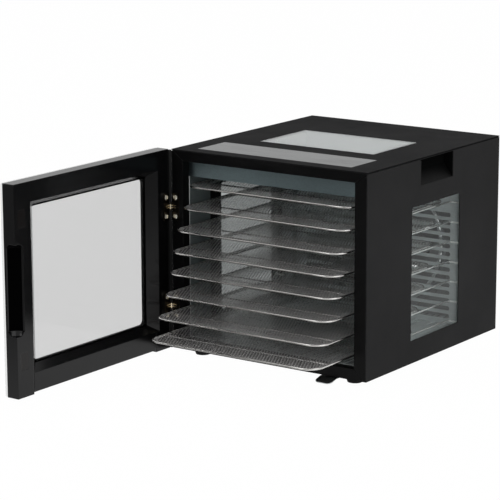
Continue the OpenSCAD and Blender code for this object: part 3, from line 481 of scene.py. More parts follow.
def bareMetal(name, look):
    # sheet, wire and turned metal
    mat, tree, shader = startMaterial(name)
    brush = useEffect(tree, "brush", Stretch=look["stretch"], Depth=1.0)
    edges = useEffect(tree, "edges", Radius=look["edge"], Wear=look["wearAndHighlight"])
    body = mixColour(tree, brush["Tone"], look["colour"], look["shade"])
    colour = mixColour(tree, edges["Mask"], body, look["brightened"])
    shader.inputs["Metallic"].default_value = look.get("solid", 1.0)
    # painted light and shade from the look's mask
    if "paintedLight" in look:
        mask = useEffect(tree, look["paintedLight"])["Mask"]
        colour = mixColour(tree, mask, colour, look["paintedLightColour"])
        if "dulled" in look:
            tree.links.new(spread(tree, mask, 0.0, 1.0, look["solid"], look["dulled"]), shader.inputs["Metallic"])
    if "cutAt" in look:
        # the sheets' front edges are cut bare and dull, and painted pale as a highlight along the opening
        cut = mathOf(tree, "LESS_THAN", splitPlace(tree, "Object")["Y"], look["cutAt"])
        colour = mixColour(tree, cut, colour, cutEdgeHighlight)
        solid = mathOf(tree, "MULTIPLY", mathOf(tree, "SUBTRACT", 1.0, cut), look.get("solid", 1.0))
        tree.links.new(solid, shader.inputs["Metallic"])
    tree.links.new(colour, shader.inputs["Base Color"])
    shader.inputs["Specular IOR Level"].default_value = look.get("shine", 0.5)
    low, high = look["rough"]
    tree.links.new(spread(tree, brush["Tone"], 0.0, 1.0, low, high), shader.inputs["Roughness"])
    normal = bumpFrom(tree, brush["Height"], look["bump"], 0.0002, edges["Normal"])
    tree.links.new(normal, shader.inputs["Normal"])
    return mat


def clearGlass(name, look):
    # a pane that lets the lamps through
    mat, tree, shader = startMaterial(name)
    smears = useEffect(tree, "smears", Low=look["rough"][0], High=look["rough"][1])
    shader.inputs["Base Color"].default_value = (*look["colour"], 1)
    shader.inputs["Metallic"].default_value = 0.0
    shader.inputs["Transmission Weight"].default_value = 1.0
    shader.inputs["IOR"].default_value = look["bend"]
    tree.links.new(smears["Roughness"], shader.inputs["Roughness"])
    through = tree.nodes.new("ShaderNodeBsdfTransparent")
    through.inputs["Color"].default_value = (*look["clear"], 1)
    showInstead(tree, mixShaders(tree, pathSum(tree, "Is Shadow Ray"), shader.outputs[0], through.outputs[0]))
    return mat


def printedGlass(name, look):
    # glass with ink on its back: all gloss, with no view through
    mat, tree, shader = startMaterial(name)
    smears = useEffect(tree, "smears", Low=look["rough"][0], High=look["rough"][1])
    grain = useEffect(tree, "grain", Size=300.0, Depth=1.0)
    edges = useEffect(tree, "edges", Radius=0.0006, Wear=0.0)
    tree.links.new(mixColour(tree, grain["Tone"], look["colour"], look["shade"]), shader.inputs["Base Color"])
    tree.links.new(smears["Roughness"], shader.inputs["Roughness"])
    shader.inputs["Specular IOR Level"].default_value = look["shine"]
    shader.inputs["Coat Weight"].default_value = look["coat"]
    shader.inputs["Coat Roughness"].default_value = 0.03
    tree.links.new(edges["Normal"], shader.inputs["Normal"])
    return mat


def hingeMetal(name, look):
    # polished hinge metal: the leaves are given a dark colour as a painted reflection of dark surroundings, and the
    # knuckles a pale colour as a painted highlight round the pin
    mat, tree, shader = startMaterial(name)
    brush = useEffect(tree, "brush", Stretch=look["stretch"], Depth=1.0)
    edges = useEffect(tree, "edges", Radius=look["edge"], Wear=look["wearAndHighlight"])
    away = vectorOf(tree, "SUBTRACT", placeOn(tree), (*hingePin, 0))
    level = vectorOf(tree, "MULTIPLY", away, (1, 1, 0))
    reach = vectorOf(tree, "LENGTH", level)
    knuckle = spread(tree, reach, look["near"], look["far"], 1.0, 0.0)
    # painted highlight down the knuckle's middle, and on the leaves along the two joints beside it
    side = vectorOf(tree, "DOT_PRODUCT", level, look["across"])
    height = splitPlace(tree, "Object")["Z"]
    fold = mathOf(tree, "ABSOLUTE", mathOf(tree, "SUBTRACT", height, look["middle"]))
    rise = mathOf(tree, "ABSOLUTE", mathOf(tree, "SUBTRACT", fold, look["apart"]))
    joint = inside(tree, rise, look["joint"], look["jointHalf"])
    stem = mathOf(tree, "MULTIPLY", inside(tree, side, 0.0, look["stem"]), inside(tree, rise, 0.0, look["stemHigh"]))
    plate = mathOf(tree, "LESS_THAN", reach, look["plate"])
    brightened = mathOf(tree, "MAXIMUM", mathOf(tree, "MULTIPLY", knuckle, stem), mathOf(tree, "MULTIPLY", plate, joint))
    body = mixColour(tree, brightened, look["leaf"], look["knuckle"])
    colour = mixColour(tree, edges["Mask"], body, look["brightened"])
    tree.links.new(colour, shader.inputs["Base Color"])
    shader.inputs["Metallic"].default_value = 1.0
    low, high = look["rough"]
    tree.links.new(spread(tree, brush["Tone"], 0.0, 1.0, low, high), shader.inputs["Roughness"])
    tree.links.new(bumpFrom(tree, brush["Height"], 0.15, 0.0002, edges["Normal"]), shader.inputs["Normal"])
    return mat


paint = {
    # painted shade: the top panel wears the same powder coat as the sides, given a darker colour and less shine
    "shadedTopCoat": dict(colour=(0.0105, 0.0105, 0.011), shade=(0.0085, 0.0085, 0.009), brightened=(0.05, 0.05, 0.05),
                    grainSize=1300.0, bump=0.35, rough=(0.78, 0.88), shine=0.06, edge=0.0006, wearAndHighlight=0.25, dust=0.04),
    "powderCoat": dict(colour=(0.016, 0.016, 0.0165), shade=(0.013, 0.013, 0.0135), brightened=(0.06, 0.06, 0.06),
                       grainSize=1300.0, bump=0.35, rough=(0.72, 0.82), shine=0.18, edge=0.0006, wearAndHighlight=0.25, dust=0.05),
    # the frame's pale edge colour is a painted highlight along the bars' edges and mitre joints, with a little wear
    "frameCoat": dict(colour=(0.0028, 0.0028, 0.003), shade=(0.002, 0.002, 0.0022), brightened=(0.09, 0.09, 0.09),
                      grainSize=1500.0, bump=0.1, rough=(0.36, 0.44), shine=0.09, edge=0.0007, wearAndHighlight=0.5, dust=0.02),
    # painted light and shade: the hand openings turn paler towards their roof
    "cupPlastic": dict(colour=(0.0028, 0.0028, 0.0029), shade=(0.0018, 0.0018, 0.0019), brightened=(0.02, 0.02, 0.02),
                       grainSize=1200.0, bump=0.2, rough=(0.5, 0.6), shine=0.1, edge=0.0008, wearAndHighlight=0.2, dust=0.02,
                       paintedLight="cupShading", paintedLightColour=(0.004, 0.0043, 0.0043)),
    # painted shade: the moulding is darker round the inner pane and in the grip's hollow
    "doorMoulding": dict(colour=(0.0032, 0.0032, 0.0036), shade=(0.0024, 0.0024, 0.0027), brightened=(0.03, 0.03, 0.03),
                         grainSize=1100.0, bump=0.05, rough=(0.14, 0.2), shine=0.26, edge=0.0012, wearAndHighlight=0.3, dust=0.01,
                         paintedLight="doorShade", paintedLightColour=(0.0012, 0.0012, 0.0013)),
    "blackPlastic": dict(colour=(0.012, 0.012, 0.0125), shade=(0.009, 0.009, 0.0095), brightened=(0.04, 0.04, 0.04),
                         grainSize=1200.0, bump=0.3, rough=(0.48, 0.6), shine=0.3, edge=0.0008, wearAndHighlight=0.3, dust=0.05),
    "rubber": dict(colour=(0.014, 0.014, 0.014), shade=(0.009, 0.009, 0.009), brightened=(0.03, 0.03, 0.03),
                   grainSize=800.0, bump=0.4, rough=(0.75, 0.9), shine=0.2, edge=0.0006, wearAndHighlight=0.3, dust=0.15),
    "motorPaint": dict(colour=(0.05, 0.05, 0.053), shade=(0.035, 0.035, 0.037), brightened=(0.2, 0.2, 0.2),
                       grainSize=1000.0, bump=0.3, rough=(0.4, 0.55), shine=0.4, edge=0.0006, wearAndHighlight=0.6, dust=0.1),
    "boardLacquer": dict(colour=(0.012, 0.09, 0.045), shade=(0.01, 0.06, 0.035), brightened=(0.25, 0.22, 0.1),
                         grainSize=500.0, bump=0.1, rough=(0.3, 0.4), shine=0.5, edge=0.0003, wearAndHighlight=0.6, dust=0.05),
    "magnetSkin": dict(colour=(0.006, 0.0046, 0.0042), shade=(0.0045, 0.0036, 0.0034), brightened=(0.05, 0.04, 0.04),
                       grainSize=1000.0, bump=0.1, rough=(0.16, 0.24), shine=0.24, edge=0.0006, wearAndHighlight=0.4, dust=0.01),
    "ceramicBody": dict(colour=(0.68, 0.64, 0.54), shade=(0.6, 0.55, 0.45), brightened=(0.75, 0.72, 0.65),
                        grainSize=700.0, bump=0.2, rough=(0.35, 0.5), shine=0.5, edge=0.0004, wearAndHighlight=0.4, dust=0.05),
}

metal = {
    "fasciaSteel": dict(colour=(0.165, 0.212, 0.222), shade=(0.13, 0.168, 0.177), brightened=(0.3, 0.33, 0.33),
                        stretch=(300.0, 8.0, 700.0), bump=0.1, rough=(0.34, 0.46), edge=0.0006, wearAndHighlight=0.4),
    # painted shade: the mesh is darker towards the back of the chamber
    "trayMesh": dict(colour=(0.6, 0.585, 0.58), shade=(0.48, 0.468, 0.464), brightened=(0.6, 0.6, 0.58), shine=0.3,
                     stretch=(180.0, 180.0, 180.0), bump=0.1, rough=(0.24, 0.36), edge=0.0002, wearAndHighlight=0.2, solid=0.6,
                     paintedLight="chamberShade", paintedLightColour=(0.36, 0.356, 0.35)),
    # painted light and shade: the rim wire is pale at its front bends and darker elsewhere
    "trayWire": dict(colour=(0.27, 0.264, 0.254), shade=(0.21, 0.205, 0.198), brightened=(0.6, 0.6, 0.58),
                     stretch=(180.0, 180.0, 180.0), bump=0.1, rough=(0.1, 0.18), edge=0.0003, wearAndHighlight=0.3,
                     paintedLight="rimHighlight", paintedLightColour=(0.62, 0.61, 0.59)),
    # the sleeves, floor and rear baffle are the chamber's steel given paler colours: painted light on the surfaces
    # seen through the side windows
    "sleeveSteel": dict(colour=(0.8, 0.84, 0.84), shade=(0.7, 0.74, 0.74), brightened=(0.8, 0.83, 0.83),
                        stretch=(300.0, 8.0, 700.0), bump=0.12, rough=(0.34, 0.46), edge=0.0006, wearAndHighlight=0.5, solid=0.15),
    "floorSteel": dict(colour=(0.74, 0.79, 0.79), shade=(0.64, 0.69, 0.69), brightened=(0.8, 0.83, 0.83),
                       stretch=(300.0, 8.0, 700.0), bump=0.08, rough=(0.2, 0.32), edge=0.0006, wearAndHighlight=0.5, solid=0.5),
    "baffleSteel": dict(colour=(0.74, 0.79, 0.795), shade=(0.66, 0.71, 0.715), brightened=(0.8, 0.83, 0.83),
                        stretch=(8.0, 300.0, 500.0), bump=0.08, rough=(0.42, 0.55), edge=0.0006, wearAndHighlight=0.4, solid=0.25),
    "chamberSteel": dict(colour=(0.3, 0.345, 0.35), shade=(0.23, 0.265, 0.27), brightened=(0.5, 0.53, 0.53),
                         stretch=(300.0, 8.0, 700.0), bump=0.12, rough=(0.3, 0.42), edge=0.0006, wearAndHighlight=0.6, solid=0.7,
                         cutAt=-0.17315),
    "sheetSteel": dict(colour=(0.4, 0.42, 0.42), shade=(0.3, 0.32, 0.32), brightened=(0.6, 0.6, 0.6),
                       stretch=(8.0, 500.0, 500.0), bump=0.12, rough=(0.25, 0.38), edge=0.0005, wearAndHighlight=0.6),
    "brightWire": dict(colour=(0.45, 0.45, 0.44), shade=(0.36, 0.36, 0.35), brightened=(0.7, 0.7, 0.68),
                       stretch=(180.0, 180.0, 180.0), bump=0.1, rough=(0.1, 0.2), edge=0.0003, wearAndHighlight=0.3, solid=0.8,
                       paintedLight="railEnds", paintedLightColour=(0.95, 0.95, 0.93), dulled=0.2),
    "screwBrass": dict(colour=(0.96, 0.93, 0.84), shade=(0.86, 0.8, 0.66), brightened=(0.97, 0.95, 0.9),
                       stretch=(420.0, 420.0, 420.0), bump=0.7, rough=(0.04, 0.1), edge=0.0002, wearAndHighlight=0.5),
    "heaterSheath": dict(colour=(0.97, 0.98, 0.98), shade=(0.92, 0.93, 0.93), brightened=(0.97, 0.97, 0.97),
                         stretch=(90.0, 90.0, 90.0), bump=0.03, rough=(0.03, 0.06), edge=0.0004, wearAndHighlight=0.3, solid=0.85),
    "fanSheet": dict(colour=(0.48, 0.49, 0.5), shade=(0.36, 0.37, 0.38), brightened=(0.7, 0.7, 0.7),
                     stretch=(60.0, 60.0, 60.0), bump=0.15, rough=(0.3, 0.45), edge=0.0004, wearAndHighlight=0.5),
    "zincScrew": dict(colour=(0.5, 0.5, 0.49), shade=(0.36, 0.36, 0.36), brightened=(0.75, 0.75, 0.74),
                      stretch=(250.0, 250.0, 250.0), bump=0.2, rough=(0.22, 0.38), edge=0.0003, wearAndHighlight=0.6),
}

plating = {
    "hingeBrass": dict(leaf=(0.045, 0.038, 0.028), knuckle=(0.78, 0.68, 0.5), brightened=(0.4, 0.34, 0.24),
                       near=0.0038, far=0.0044, across=(0.816, 0.578, 0), stem=0.0009, stemHigh=0.0036,
                       middle=0.152, apart=0.076, joint=0.0017, jointHalf=0.0007, plate=0.009,
                       stretch=(200.0, 200.0, 60.0), rough=(0.16, 0.3), edge=0.0004, wearAndHighlight=0.5),
}

glazing = {
    "sideGlass": dict(colour=(0.94, 0.975, 0.97), rough=(0.0, 0.008), bend=1.2, clear=(0.9, 0.935, 0.93)),
    # painted shade: the left pane is the same glass as the right, made darker and letting less light through
    "shadedGlass": dict(colour=(0.36, 0.38, 0.376), rough=(0.0, 0.008), bend=1.2, clear=(0.5, 0.53, 0.525)),
    "roofGlass": dict(colour=(0.8, 0.86, 0.85), rough=(0.0, 0.02), bend=1.5, clear=(0.8, 0.84, 0.835)),
    "doorGlass": dict(colour=(0.8, 0.8, 0.8), rough=(0.0, 0.01), bend=1.12, clear=(0.82, 0.82, 0.82)),
}

printing = {
    "touchGlass": dict(colour=(0.03, 0.034, 0.0335), shade=(0.024, 0.028, 0.0275), rough=(0.12, 0.24),
                       shine=0.25, coat=0.03),
    "blackPrint": dict(colour=(0.006, 0.006, 0.0065), shade=(0.005, 0.005, 0.0052), rough=(0.04, 0.12),
                       shine=0.5, coat=0.3),
}

finishes = {}
for make, looks in ((sprayedOrMoulded, paint), (bareMetal, metal), (hingeMetal, plating), (clearGlass, glazing),
                    (printedGlass, printing)):
    for name, look in looks.items():
        finishes[name] = make(name, look)
print("finishes made:", len(finishes))

# ---- finishes on the carried-over nodes

finishOf = {
    "shadedTopCoat": ["top_panel"],
    "powderCoat": ["side_panel_left", "side_panel_right", "rear_panel", "base_plate"],
    "frameCoat": ["front_frame"],
    "doorMoulding": ["door_frame"],
    "cupPlastic": ["handle_cup_left", "handle_cup_right"],
    "blackPlastic": ["control_tub", "power_inlet"],
    "fasciaSteel": ["liner_ceiling"],
    "chamberSteel": ["roof_sleeve", "liner_left", "liner_right"],
    "floorSteel": ["liner_floor"],
    "sleeveSteel": ["window_sleeve_left", "window_sleeve_right"],
    "baffleSteel": ["rear_baffle"],
    "sheetSteel": ["rail_strips", "heater_clips", "fan_shroud", "motor_plate", "crumb_chute", "crumb_pan",
                   "pan_runners", "temperature_probe"],
    "brightWire": ["rails_left", "rails_right"],
    "sideGlass": ["window_right"],
    "shadedGlass": ["window_left"],
    "roofGlass": ["roof_window"],
    "doorGlass": ["door_inner_glass"],
    "touchGlass": ["control_glass"],
    "rubber": ["feet", "door_gasket"],
    "hingeBrass": ["hinge_cabinet_leaves", "hinge_door_leaves", "hinge_pins", "hinge_cabinet_screws",
                   "hinge_door_screws"],
    "heaterSheath": ["heater_ring"],
    "fanSheet": ["fan"],
    "motorPaint": ["fan_motor"],
    "boardLacquer": ["control_board"],
    "magnetSkin": ["door_magnets"],
    "ceramicBody": ["thermal_cutout"],
    "zincScrew": ["foot_screws", "rear_screws", "fan_nut"],
}

for finish, names in finishOf.items():
    for name in names:
        for materialSlot in nodes[name].material_slots:
            materialSlot.material = finishes[finish]
print("finishes put on the nodes")

# ---- modelling helpers


def pickNothing():
    for thing in bpy.context.selected_objects:
        thing.select_set(False)


def only(thing):
    pickNothing()
    thing.select_set(True)
    bpy.context.view_layer.objects.active = thing


def editing(thing, mode="VERT"):
    only(thing)
    bpy.ops.object.mode_set(mode="EDIT")
    bpy.ops.mesh.select_mode(type=mode)


def selectAll():
    bpy.ops.mesh.select_all(action="SELECT")


def done():
    bpy.ops.object.mode_set(mode="OBJECT")


def settle(thing):
    # puts the place, turn and size into the mesh, and the object at the origin
    only(thing)
    bpy.ops.object.transform_apply(location=True, rotation=True, scale=True)


def joinAll(things, name):
    pickNothing()
    for thing in things:
        thing.select_set(True)
    bpy.context.view_layer.objects.active = things[0]
    bpy.ops.object.join()
    whole = bpy.context.object
    whole.name = name
    return whole


def finishPiece(thing, body, slot, *replaced):
    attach(thing, body)
    if replaced:
        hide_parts(*replaced)


# ---- wire trays

tray = {
    "width": 0.298, "depth": 0.278,
    "rimWire": 0.003, "corner": 0.022,
    "diamondWide": 0.005, "diamondLong": 0.010, "gridCount": 92,
    "strand": 0.0016, "flat": 0.12,      # width of a strand, and its thickness beside its width
    "meshInset": 0.0045,        # from the middle of the rim wire to the flat of the mesh
    "meshHeight": 0.0003, "lipHeight": 0.0009, "lipEnd": 0.001, "weld": 0.0007,
    "rod": 0.002, "rodDrop": 0.0005, "rodEdge": 0.044, "rodCount": 3, "rodShort": 0.0024, "rodChamfer": 0.0005,
}


def bendRim():
    # the middle line of the rim, bent round at the corners, then given its thickness
    wide = tray["width"] - tray["rimWire"]
    deep = tray["depth"] - tray["rimWire"]
    bpy.ops.mesh.primitive_plane_add(size=1)
    rim = bpy.context.object
    rim.scale = (wide, deep, 1)
    settle(rim)
    editing(rim)
    selectAll()
    bpy.ops.mesh.bevel(offset=tray["corner"], offset_type="OFFSET", segments=9, affect="VERTICES")
    bpy.ops.mesh.select_mode(type="FACE")
    selectAll()
    bpy.ops.mesh.delete(type="ONLY_FACE")
    done()
    bpy.ops.object.convert(target="CURVE")
    rim = bpy.context.object
    rim.data.bevel_depth = tray["rimWire"] / 2
    rim.data.bevel_resolution = 2
    bpy.ops.object.convert(target="MESH")
    rim = bpy.context.object
    bpy.ops.object.shade_smooth()
    return rim


def trimTo(thing, wide, deep, corner):
    # cuts a flat sheet to a rectangle with round corners
    editing(thing)
    cuts = [((wide / 2, 0, 0), (1, 0, 0)), ((-wide / 2, 0, 0), (-1, 0, 0)),
            ((0, deep / 2, 0), (0, 1, 0)), ((0, -deep / 2, 0), (0, -1, 0))]
    for sideX in (-1, 1):
        for sideY in (-1, 1):
            for step in range(1, 6):
                turn = math.radians(15 * step)
                out = Vector((sideX * math.cos(turn), sideY * math.sin(turn), 0))
                middle = Vector((sideX * (wide / 2 - corner), sideY * (deep / 2 - corner), 0))
                cuts.append((middle + out * corner, out))
    for point, out in cuts:
        selectAll()
        bpy.ops.mesh.bisect(plane_co=point, plane_no=out, clear_outer=True, use_fill=False)
    selectAll()
    bpy.ops.mesh.remove_doubles(threshold=tray["weld"])
    done()


def stretchMesh():
    # a sheet of diamonds, trimmed to the rim, its edge turned up to meet the wire
    inset = tray["meshInset"]
    wide = tray["width"] - tray["rimWire"] - 2 * inset
    deep = tray["depth"] - tray["rimWire"] - 2 * inset
    count = tray["gridCount"]
    bpy.ops.mesh.primitive_grid_add(x_subdivisions=count, y_subdivisions=count, size=count)
    sheet = bpy.context.object
    sheet.rotation_euler = (0, 0, math.radians(45))
    settle(sheet)
    sheet.scale = (tray["diamondWide"] / math.sqrt(2), tray["diamondLong"] / math.sqrt(2), 1)
    settle(sheet)
    trimTo(sheet, wide, deep, tray["corner"] - inset)
    editing(sheet, "EDGE")
    bpy.ops.mesh.select_all(action="DESELECT")
    bpy.ops.mesh.select_non_manifold(extend=False, use_wire=False, use_multi_face=False,
                                     use_non_contiguous=False, use_verts=False)
    lip = tray["lipHeight"] / tray["flat"]
    bpy.ops.mesh.extrude_edges_move(TRANSFORM_OT_translate={"value": (0, 0, lip)})
    reach = inset - tray["lipEnd"]
    bpy.ops.transform.resize(value=(1 + 2 * reach / wide, 1 + 2 * reach / deep, 1), center_override=(0, 0, lip))
    done()
    strands = sheet.modifiers.new("strands", "WIREFRAME")
    strands.thickness = tray["strand"]
    strands.use_even_offset = True
    strands.use_boundary = True
    strands.offset = 0
    only(sheet)
    bpy.ops.object.modifier_apply(modifier="strands")
    sheet.scale = (1, 1, tray["flat"])
    sheet.location = (0, 0, tray["meshHeight"])
    settle(sheet)
    return sheet


def layRods():
    # cross rods under the mesh, welded to the rim
    rods = []
    gap = (tray["depth"] - 2 * tray["rodEdge"]) / (tray["rodCount"] - 1)
    for index in range(tray["rodCount"]):
        place = (0, -tray["depth"] / 2 + tray["rodEdge"] + index * gap, -tray["rodDrop"])
        bpy.ops.mesh.primitive_cylinder_add(vertices=12, radius=tray["rod"] / 2,
                                            depth=tray["width"] - tray["rimWire"] - tray["rodShort"],
                                            location=place, rotation=(0, math.radians(90), 0))
        rod = bpy.context.object
        settle(rod)
        editing(rod, "FACE")
        bpy.ops.mesh.select_all(action="DESELECT")
        done()
        for face in rod.data.polygons:
            face.select = abs(face.normal.x) > 0.9
        editing(rod, "FACE")
        bpy.ops.mesh.bevel(offset=tray["rodChamfer"], segments=2)
        done()
        bpy.ops.object.shade_smooth_by_angle(angle=math.radians(40))
        rods.append(rod)
    return rods


def buildTrays():
    wires = [bendRim(), *layRods()]
    sheet = stretchMesh()
    for piece in (*wires, sheet):
        piece.data.materials.clear()
        piece.data.materials.append(finishes["trayMesh" if piece == sheet else "trayWire"])
    pattern = joinAll([*wires, sheet], "trayPattern")
    for number in range(1, 9):
        low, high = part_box(f"tray_{number}")
        piece = pattern.copy()
        piece.data = pattern.data.copy()
        piece.name = f"wireTray_{number}"
        bpy.context.collection.objects.link(piece)
        piece.location = ((low[0] + high[0]) / 2, (low[1] + high[1]) / 2, high[2] - tray["rimWire"] / 2)
        settle(piece)
        finishPiece(piece, f"shelf_{number}", "bright_wire", f"tray_{number}")
    triangles = sum(len(p.vertices) - 2 for p in pattern.data.polygons)
    bpy.data.objects.remove(pattern)
    print("trays built, triangles each:", triangles)


buildTrays()

# ---- front glass of the door

doorGlass = {
    "wide": 0.345, "high": 0.305, "thick": 0.004,
    "corner": 0.003, "middleHeight": 0.1625, "frontFace": -0.21725,
    "clearWide": 0.250, "clearHigh": 0.223, "clearHeight": 0.164, "clearCorner": 0.008,
    "clearShift": -0.0045, "clearAhead": 0.01, "clearDeep": 0.03, "chamfer": 0.0006,
    "ink": {"edge": 0.0008, "depth": 0.0003, "thick": 0.0001},
    "open": -90.6,
}


def swingDoor(thing):
    # turns a piece built for the shut door to where the door stands open
    x, y = hingePin
    only(thing)
    turn = Matrix.Rotation(math.radians(doorGlass["open"]), 4, "Z")
    there, back = Matrix.Translation((x, y, 0)), Matrix.Translation((-x, -y, 0))
    thing.matrix_world = there @ turn @ back @ thing.matrix_world
    settle(thing)


def roundedPanel(wide, high, corner, height, front, thick, segments=5):
    # an upright sheet with round corners, its front face at the given depth
    bpy.ops.mesh.primitive_plane_add(size=1, rotation=(math.radians(90), 0, 0))
    panel = bpy.context.object
    settle(panel)
    panel.scale = (wide, 1, high)
    panel.location = (0, front, height)
    settle(panel)
    editing(panel)
    selectAll()
    bpy.ops.mesh.bevel(offset=corner, offset_type="OFFSET", segments=segments, affect="VERTICES")
    bpy.ops.mesh.select_mode(type="FACE")
    selectAll()
    bpy.ops.mesh.extrude_region_move(TRANSFORM_OT_translate={"value": (0, thick, 0)})
    selectAll()
    bpy.ops.mesh.normals_make_consistent(inside=False)
    done()
    return panel


def breakEdges(thing, width):
    # a small ground chamfer on every sharp edge
    chamfer = thing.modifiers.new("chamfer", "BEVEL")
    chamfer.width = width
    chamfer.segments = 2
    chamfer.limit_method = "ANGLE"
    chamfer.angle_limit = math.radians(40)
    only(thing)
    bpy.ops.object.modifier_apply(modifier="chamfer")


def cutOut(thing, tool):
    hole = thing.modifiers.new("hole", "BOOLEAN")
    hole.operation = "DIFFERENCE"
    hole.object = tool
    only(thing)
    bpy.ops.object.modifier_apply(modifier="hole")
    bpy.data.objects.remove(tool)


def buildDoorGlass():
    look = doorGlass
    pane = roundedPanel(look["wide"], look["high"], look["corner"], look["middleHeight"],
                        look["frontFace"], look["thick"])
    breakEdges(pane, look["chamfer"])
    pane.name = "doorPane"
    pane.data.materials.append(finishes["doorGlass"])
    # ink on the back of the glass, all but the clear middle
    ink = look["ink"]
    printed = roundedPanel(look["wide"] - 2 * ink["edge"], look["high"] - 2 * ink["edge"], look["corner"],
                           look["middleHeight"], look["frontFace"] + look["thick"] - ink["depth"], ink["thick"])
    clear = roundedPanel(look["clearWide"], look["clearHigh"], look["clearCorner"], look["clearHeight"],
                         look["frontFace"] - look["clearAhead"], look["clearDeep"], segments=8)
    clear.location.x = look["clearShift"]
    settle(clear)
    cutOut(printed, clear)
    printed.name = "doorPrint"
    printed.data.materials.append(finishes["blackPrint"])
    for piece in (pane, printed):
        swingDoor(piece)
    finishPiece(pane, "door", "door_glass", "door_front_glass")
    finishPiece(printed, "door", "door_glass")
    print("door glass built")


buildDoorGlass()

# ---- seal along the hinge line

hingeSeal = {
    "radius": 0.0023, "low": 0.0112, "high": 0.3138,
    "knuckles": (0.076, 0.228), "room": 0.0078,
    "bore": 0.002, "reach": 0.0016,     # the thin ends that close round the pins' heads
    "chamfer": 0.0003,
}


def buildHingeSeal():
    # a thin rubber sleeve over the door's bead, left out at the knuckles
    look = hingeSeal
    low, high = look["knuckles"]
    spans = [(look["low"], low - look["room"]), (low + look["room"], high - look["room"]),
             (high + look["room"], look["high"])]
    sleeves = []
    for bottom, top in spans:
        bpy.ops.mesh.primitive_cylinder_add(vertices=20, radius=look["radius"], depth=top - bottom,
                                            location=(*hingePin, (top + bottom) / 2))
        sleeve = bpy.context.object
        settle(sleeve)
        breakEdges(sleeve, look["chamfer"])
        bpy.ops.object.shade_smooth_by_angle(angle=math.radians(35))
        sleeves.append(sleeve)
    for middle in look["knuckles"]:
        for side in (-1, 1):
            height = middle + side * (look["room"] - look["reach"] / 2)
            bpy.ops.mesh.primitive_cylinder_add(vertices=20, radius=look["radius"], depth=look["reach"],
                                                location=(*hingePin, height))
            cuff = bpy.context.object
            settle(cuff)
            bpy.ops.mesh.primitive_cylinder_add(vertices=20, radius=look["bore"], depth=2 * look["reach"],
                                                location=(*hingePin, height))
            cutOut(cuff, bpy.context.object)
            bpy.ops.object.shade_smooth_by_angle(angle=math.radians(35))
            sleeves.append(cuff)
    seal = joinAll(sleeves, "hingeSeal")
    seal.data.materials.clear()
    seal.data.materials.append(finishes["rubber"])
    finishPiece(seal, "door", "black_rubber")
    print("hinge seal built")


buildHingeSeal()

# ---- hinge screws

hingeScrew = {
    "profile": ((0.0, 0.0005), (0.0012, 0.0006), (0.0022, 0.00085), (0.0031, 0.0008), (0.0038, 0.00045), (0.004, 0.0)),
    "shank": 0.001, "length": 0.008, "brim": 0.0006,
    "slotWide": 0.0005, "slotLong": 0.003, "slotDeep": 0.0003, "slotHigh": 0.0006,
    "across": -0.1655, "heights": (0.076, 0.228), "step": 0.0145,
    "cabinetSeat": -0.18975, "doorSeat": -0.19175,
}


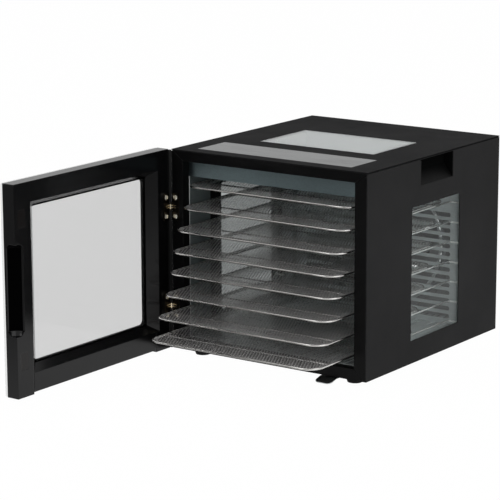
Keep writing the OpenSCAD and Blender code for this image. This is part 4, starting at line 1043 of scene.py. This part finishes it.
def turnScrew():
    # a low dished head with a cross recess, standing on its shank
    look = hingeScrew
    low = min(rise for out, rise in look["profile"])
    bpy.ops.mesh.primitive_cylinder_add(vertices=28, radius=look["profile"][-1][0], depth=look["brim"],
                                        location=(0, 0, low - look["brim"] / 2))
    screw = bpy.context.object
    settle(screw)
    for inner, outer in zip(look["profile"][::-1][1:], look["profile"][::-1]):
        # each ring of the head is drawn in and lifted from the one outside it
        for face in screw.data.polygons:
            face.select = face.normal.z > 0.99 and abs(face.center.x) + abs(face.center.y) < 1e-5
        editing(screw, "FACE")
        bpy.ops.mesh.inset(thickness=outer[0] - inner[0] if inner[0] else outer[0] * 0.7)
        bpy.ops.transform.translate(value=(0, 0, inner[1] - outer[1]))
        done()
    for turn in (0, 90):
        bpy.ops.mesh.primitive_cube_add(size=1, location=(0, 0, look["slotHigh"]),
                                        rotation=(0, 0, math.radians(turn)))
        blade = bpy.context.object
        blade.scale = (look["slotLong"], look["slotWide"], 2 * look["slotDeep"])
        cutOut(screw, blade)
    bpy.ops.mesh.primitive_cylinder_add(vertices=16, radius=look["shank"], depth=look["length"],
                                        location=(0, 0, -look["length"] / 2))
    shank = bpy.context.object
    settle(shank)
    screw = joinAll([screw, shank], "hingeScrew")
    only(screw)
    bpy.ops.object.shade_smooth_by_angle(angle=math.radians(35))
    screw.data.materials.clear()
    screw.data.materials.append(finishes["screwBrass"])
    return screw


def placeScrews(seat, turn, name):
    look = hingeScrew
    screws = []
    for height in look["heights"]:
        for side in (-1, 1):
            screw = turnScrew()
            screw.rotation_euler = (math.radians(turn), 0, 0)
            screw.location = (look["across"], seat, height + side * look["step"])
            settle(screw)
            screws.append(screw)
    return joinAll(screws, name)


def buildHingeScrews():
    held = placeScrews(hingeScrew["cabinetSeat"], 90, "cabinetHingeScrews")
    swung = placeScrews(hingeScrew["doorSeat"], -90, "doorHingeScrews")
    swingDoor(swung)
    finishPiece(held, "cabinet", "hinge_brass", "hinge_cabinet_screws")
    finishPiece(swung, "door", "hinge_brass", "hinge_door_screws")
    print("hinge screws built")


buildHingeScrews()

# ---- painted-shade strips at the hand openings

cupShadowStrip = {
    "wide": 0.0026, "high": 0.0385, "thick": 0.0008, "chamfer": 0.0003,
    "sink": 0.0003, "front": -0.045, "skin": 0.1725,
}


def buildCupShadowStrips():
    # painted shade: a narrow dark strip down the front edge of each hand opening, standing for the shadow in the gap
    # there
    look = cupShadowStrip
    for side, name in ((-1, "left"), (1, "right")):
        low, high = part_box(f"handle_cup_{name}")
        bpy.ops.mesh.primitive_cube_add(size=1)
        lip = bpy.context.object
        lip.name = f"cupShadowStrip_{name}"
        lip.scale = (look["thick"], look["wide"], look["high"])
        lip.location = (side * (look["skin"] - look["sink"] - look["thick"] / 2), look["front"] + look["wide"] / 2,
                        (low[2] + high[2]) / 2)
        settle(lip)
        breakEdges(lip, look["chamfer"])
        lip.data.materials.append(finishes["rubber"])
        finishPiece(lip, "cabinet", "black_plastic")
    print("hand opening lips built")


buildCupShadowStrips()

print("scene built")
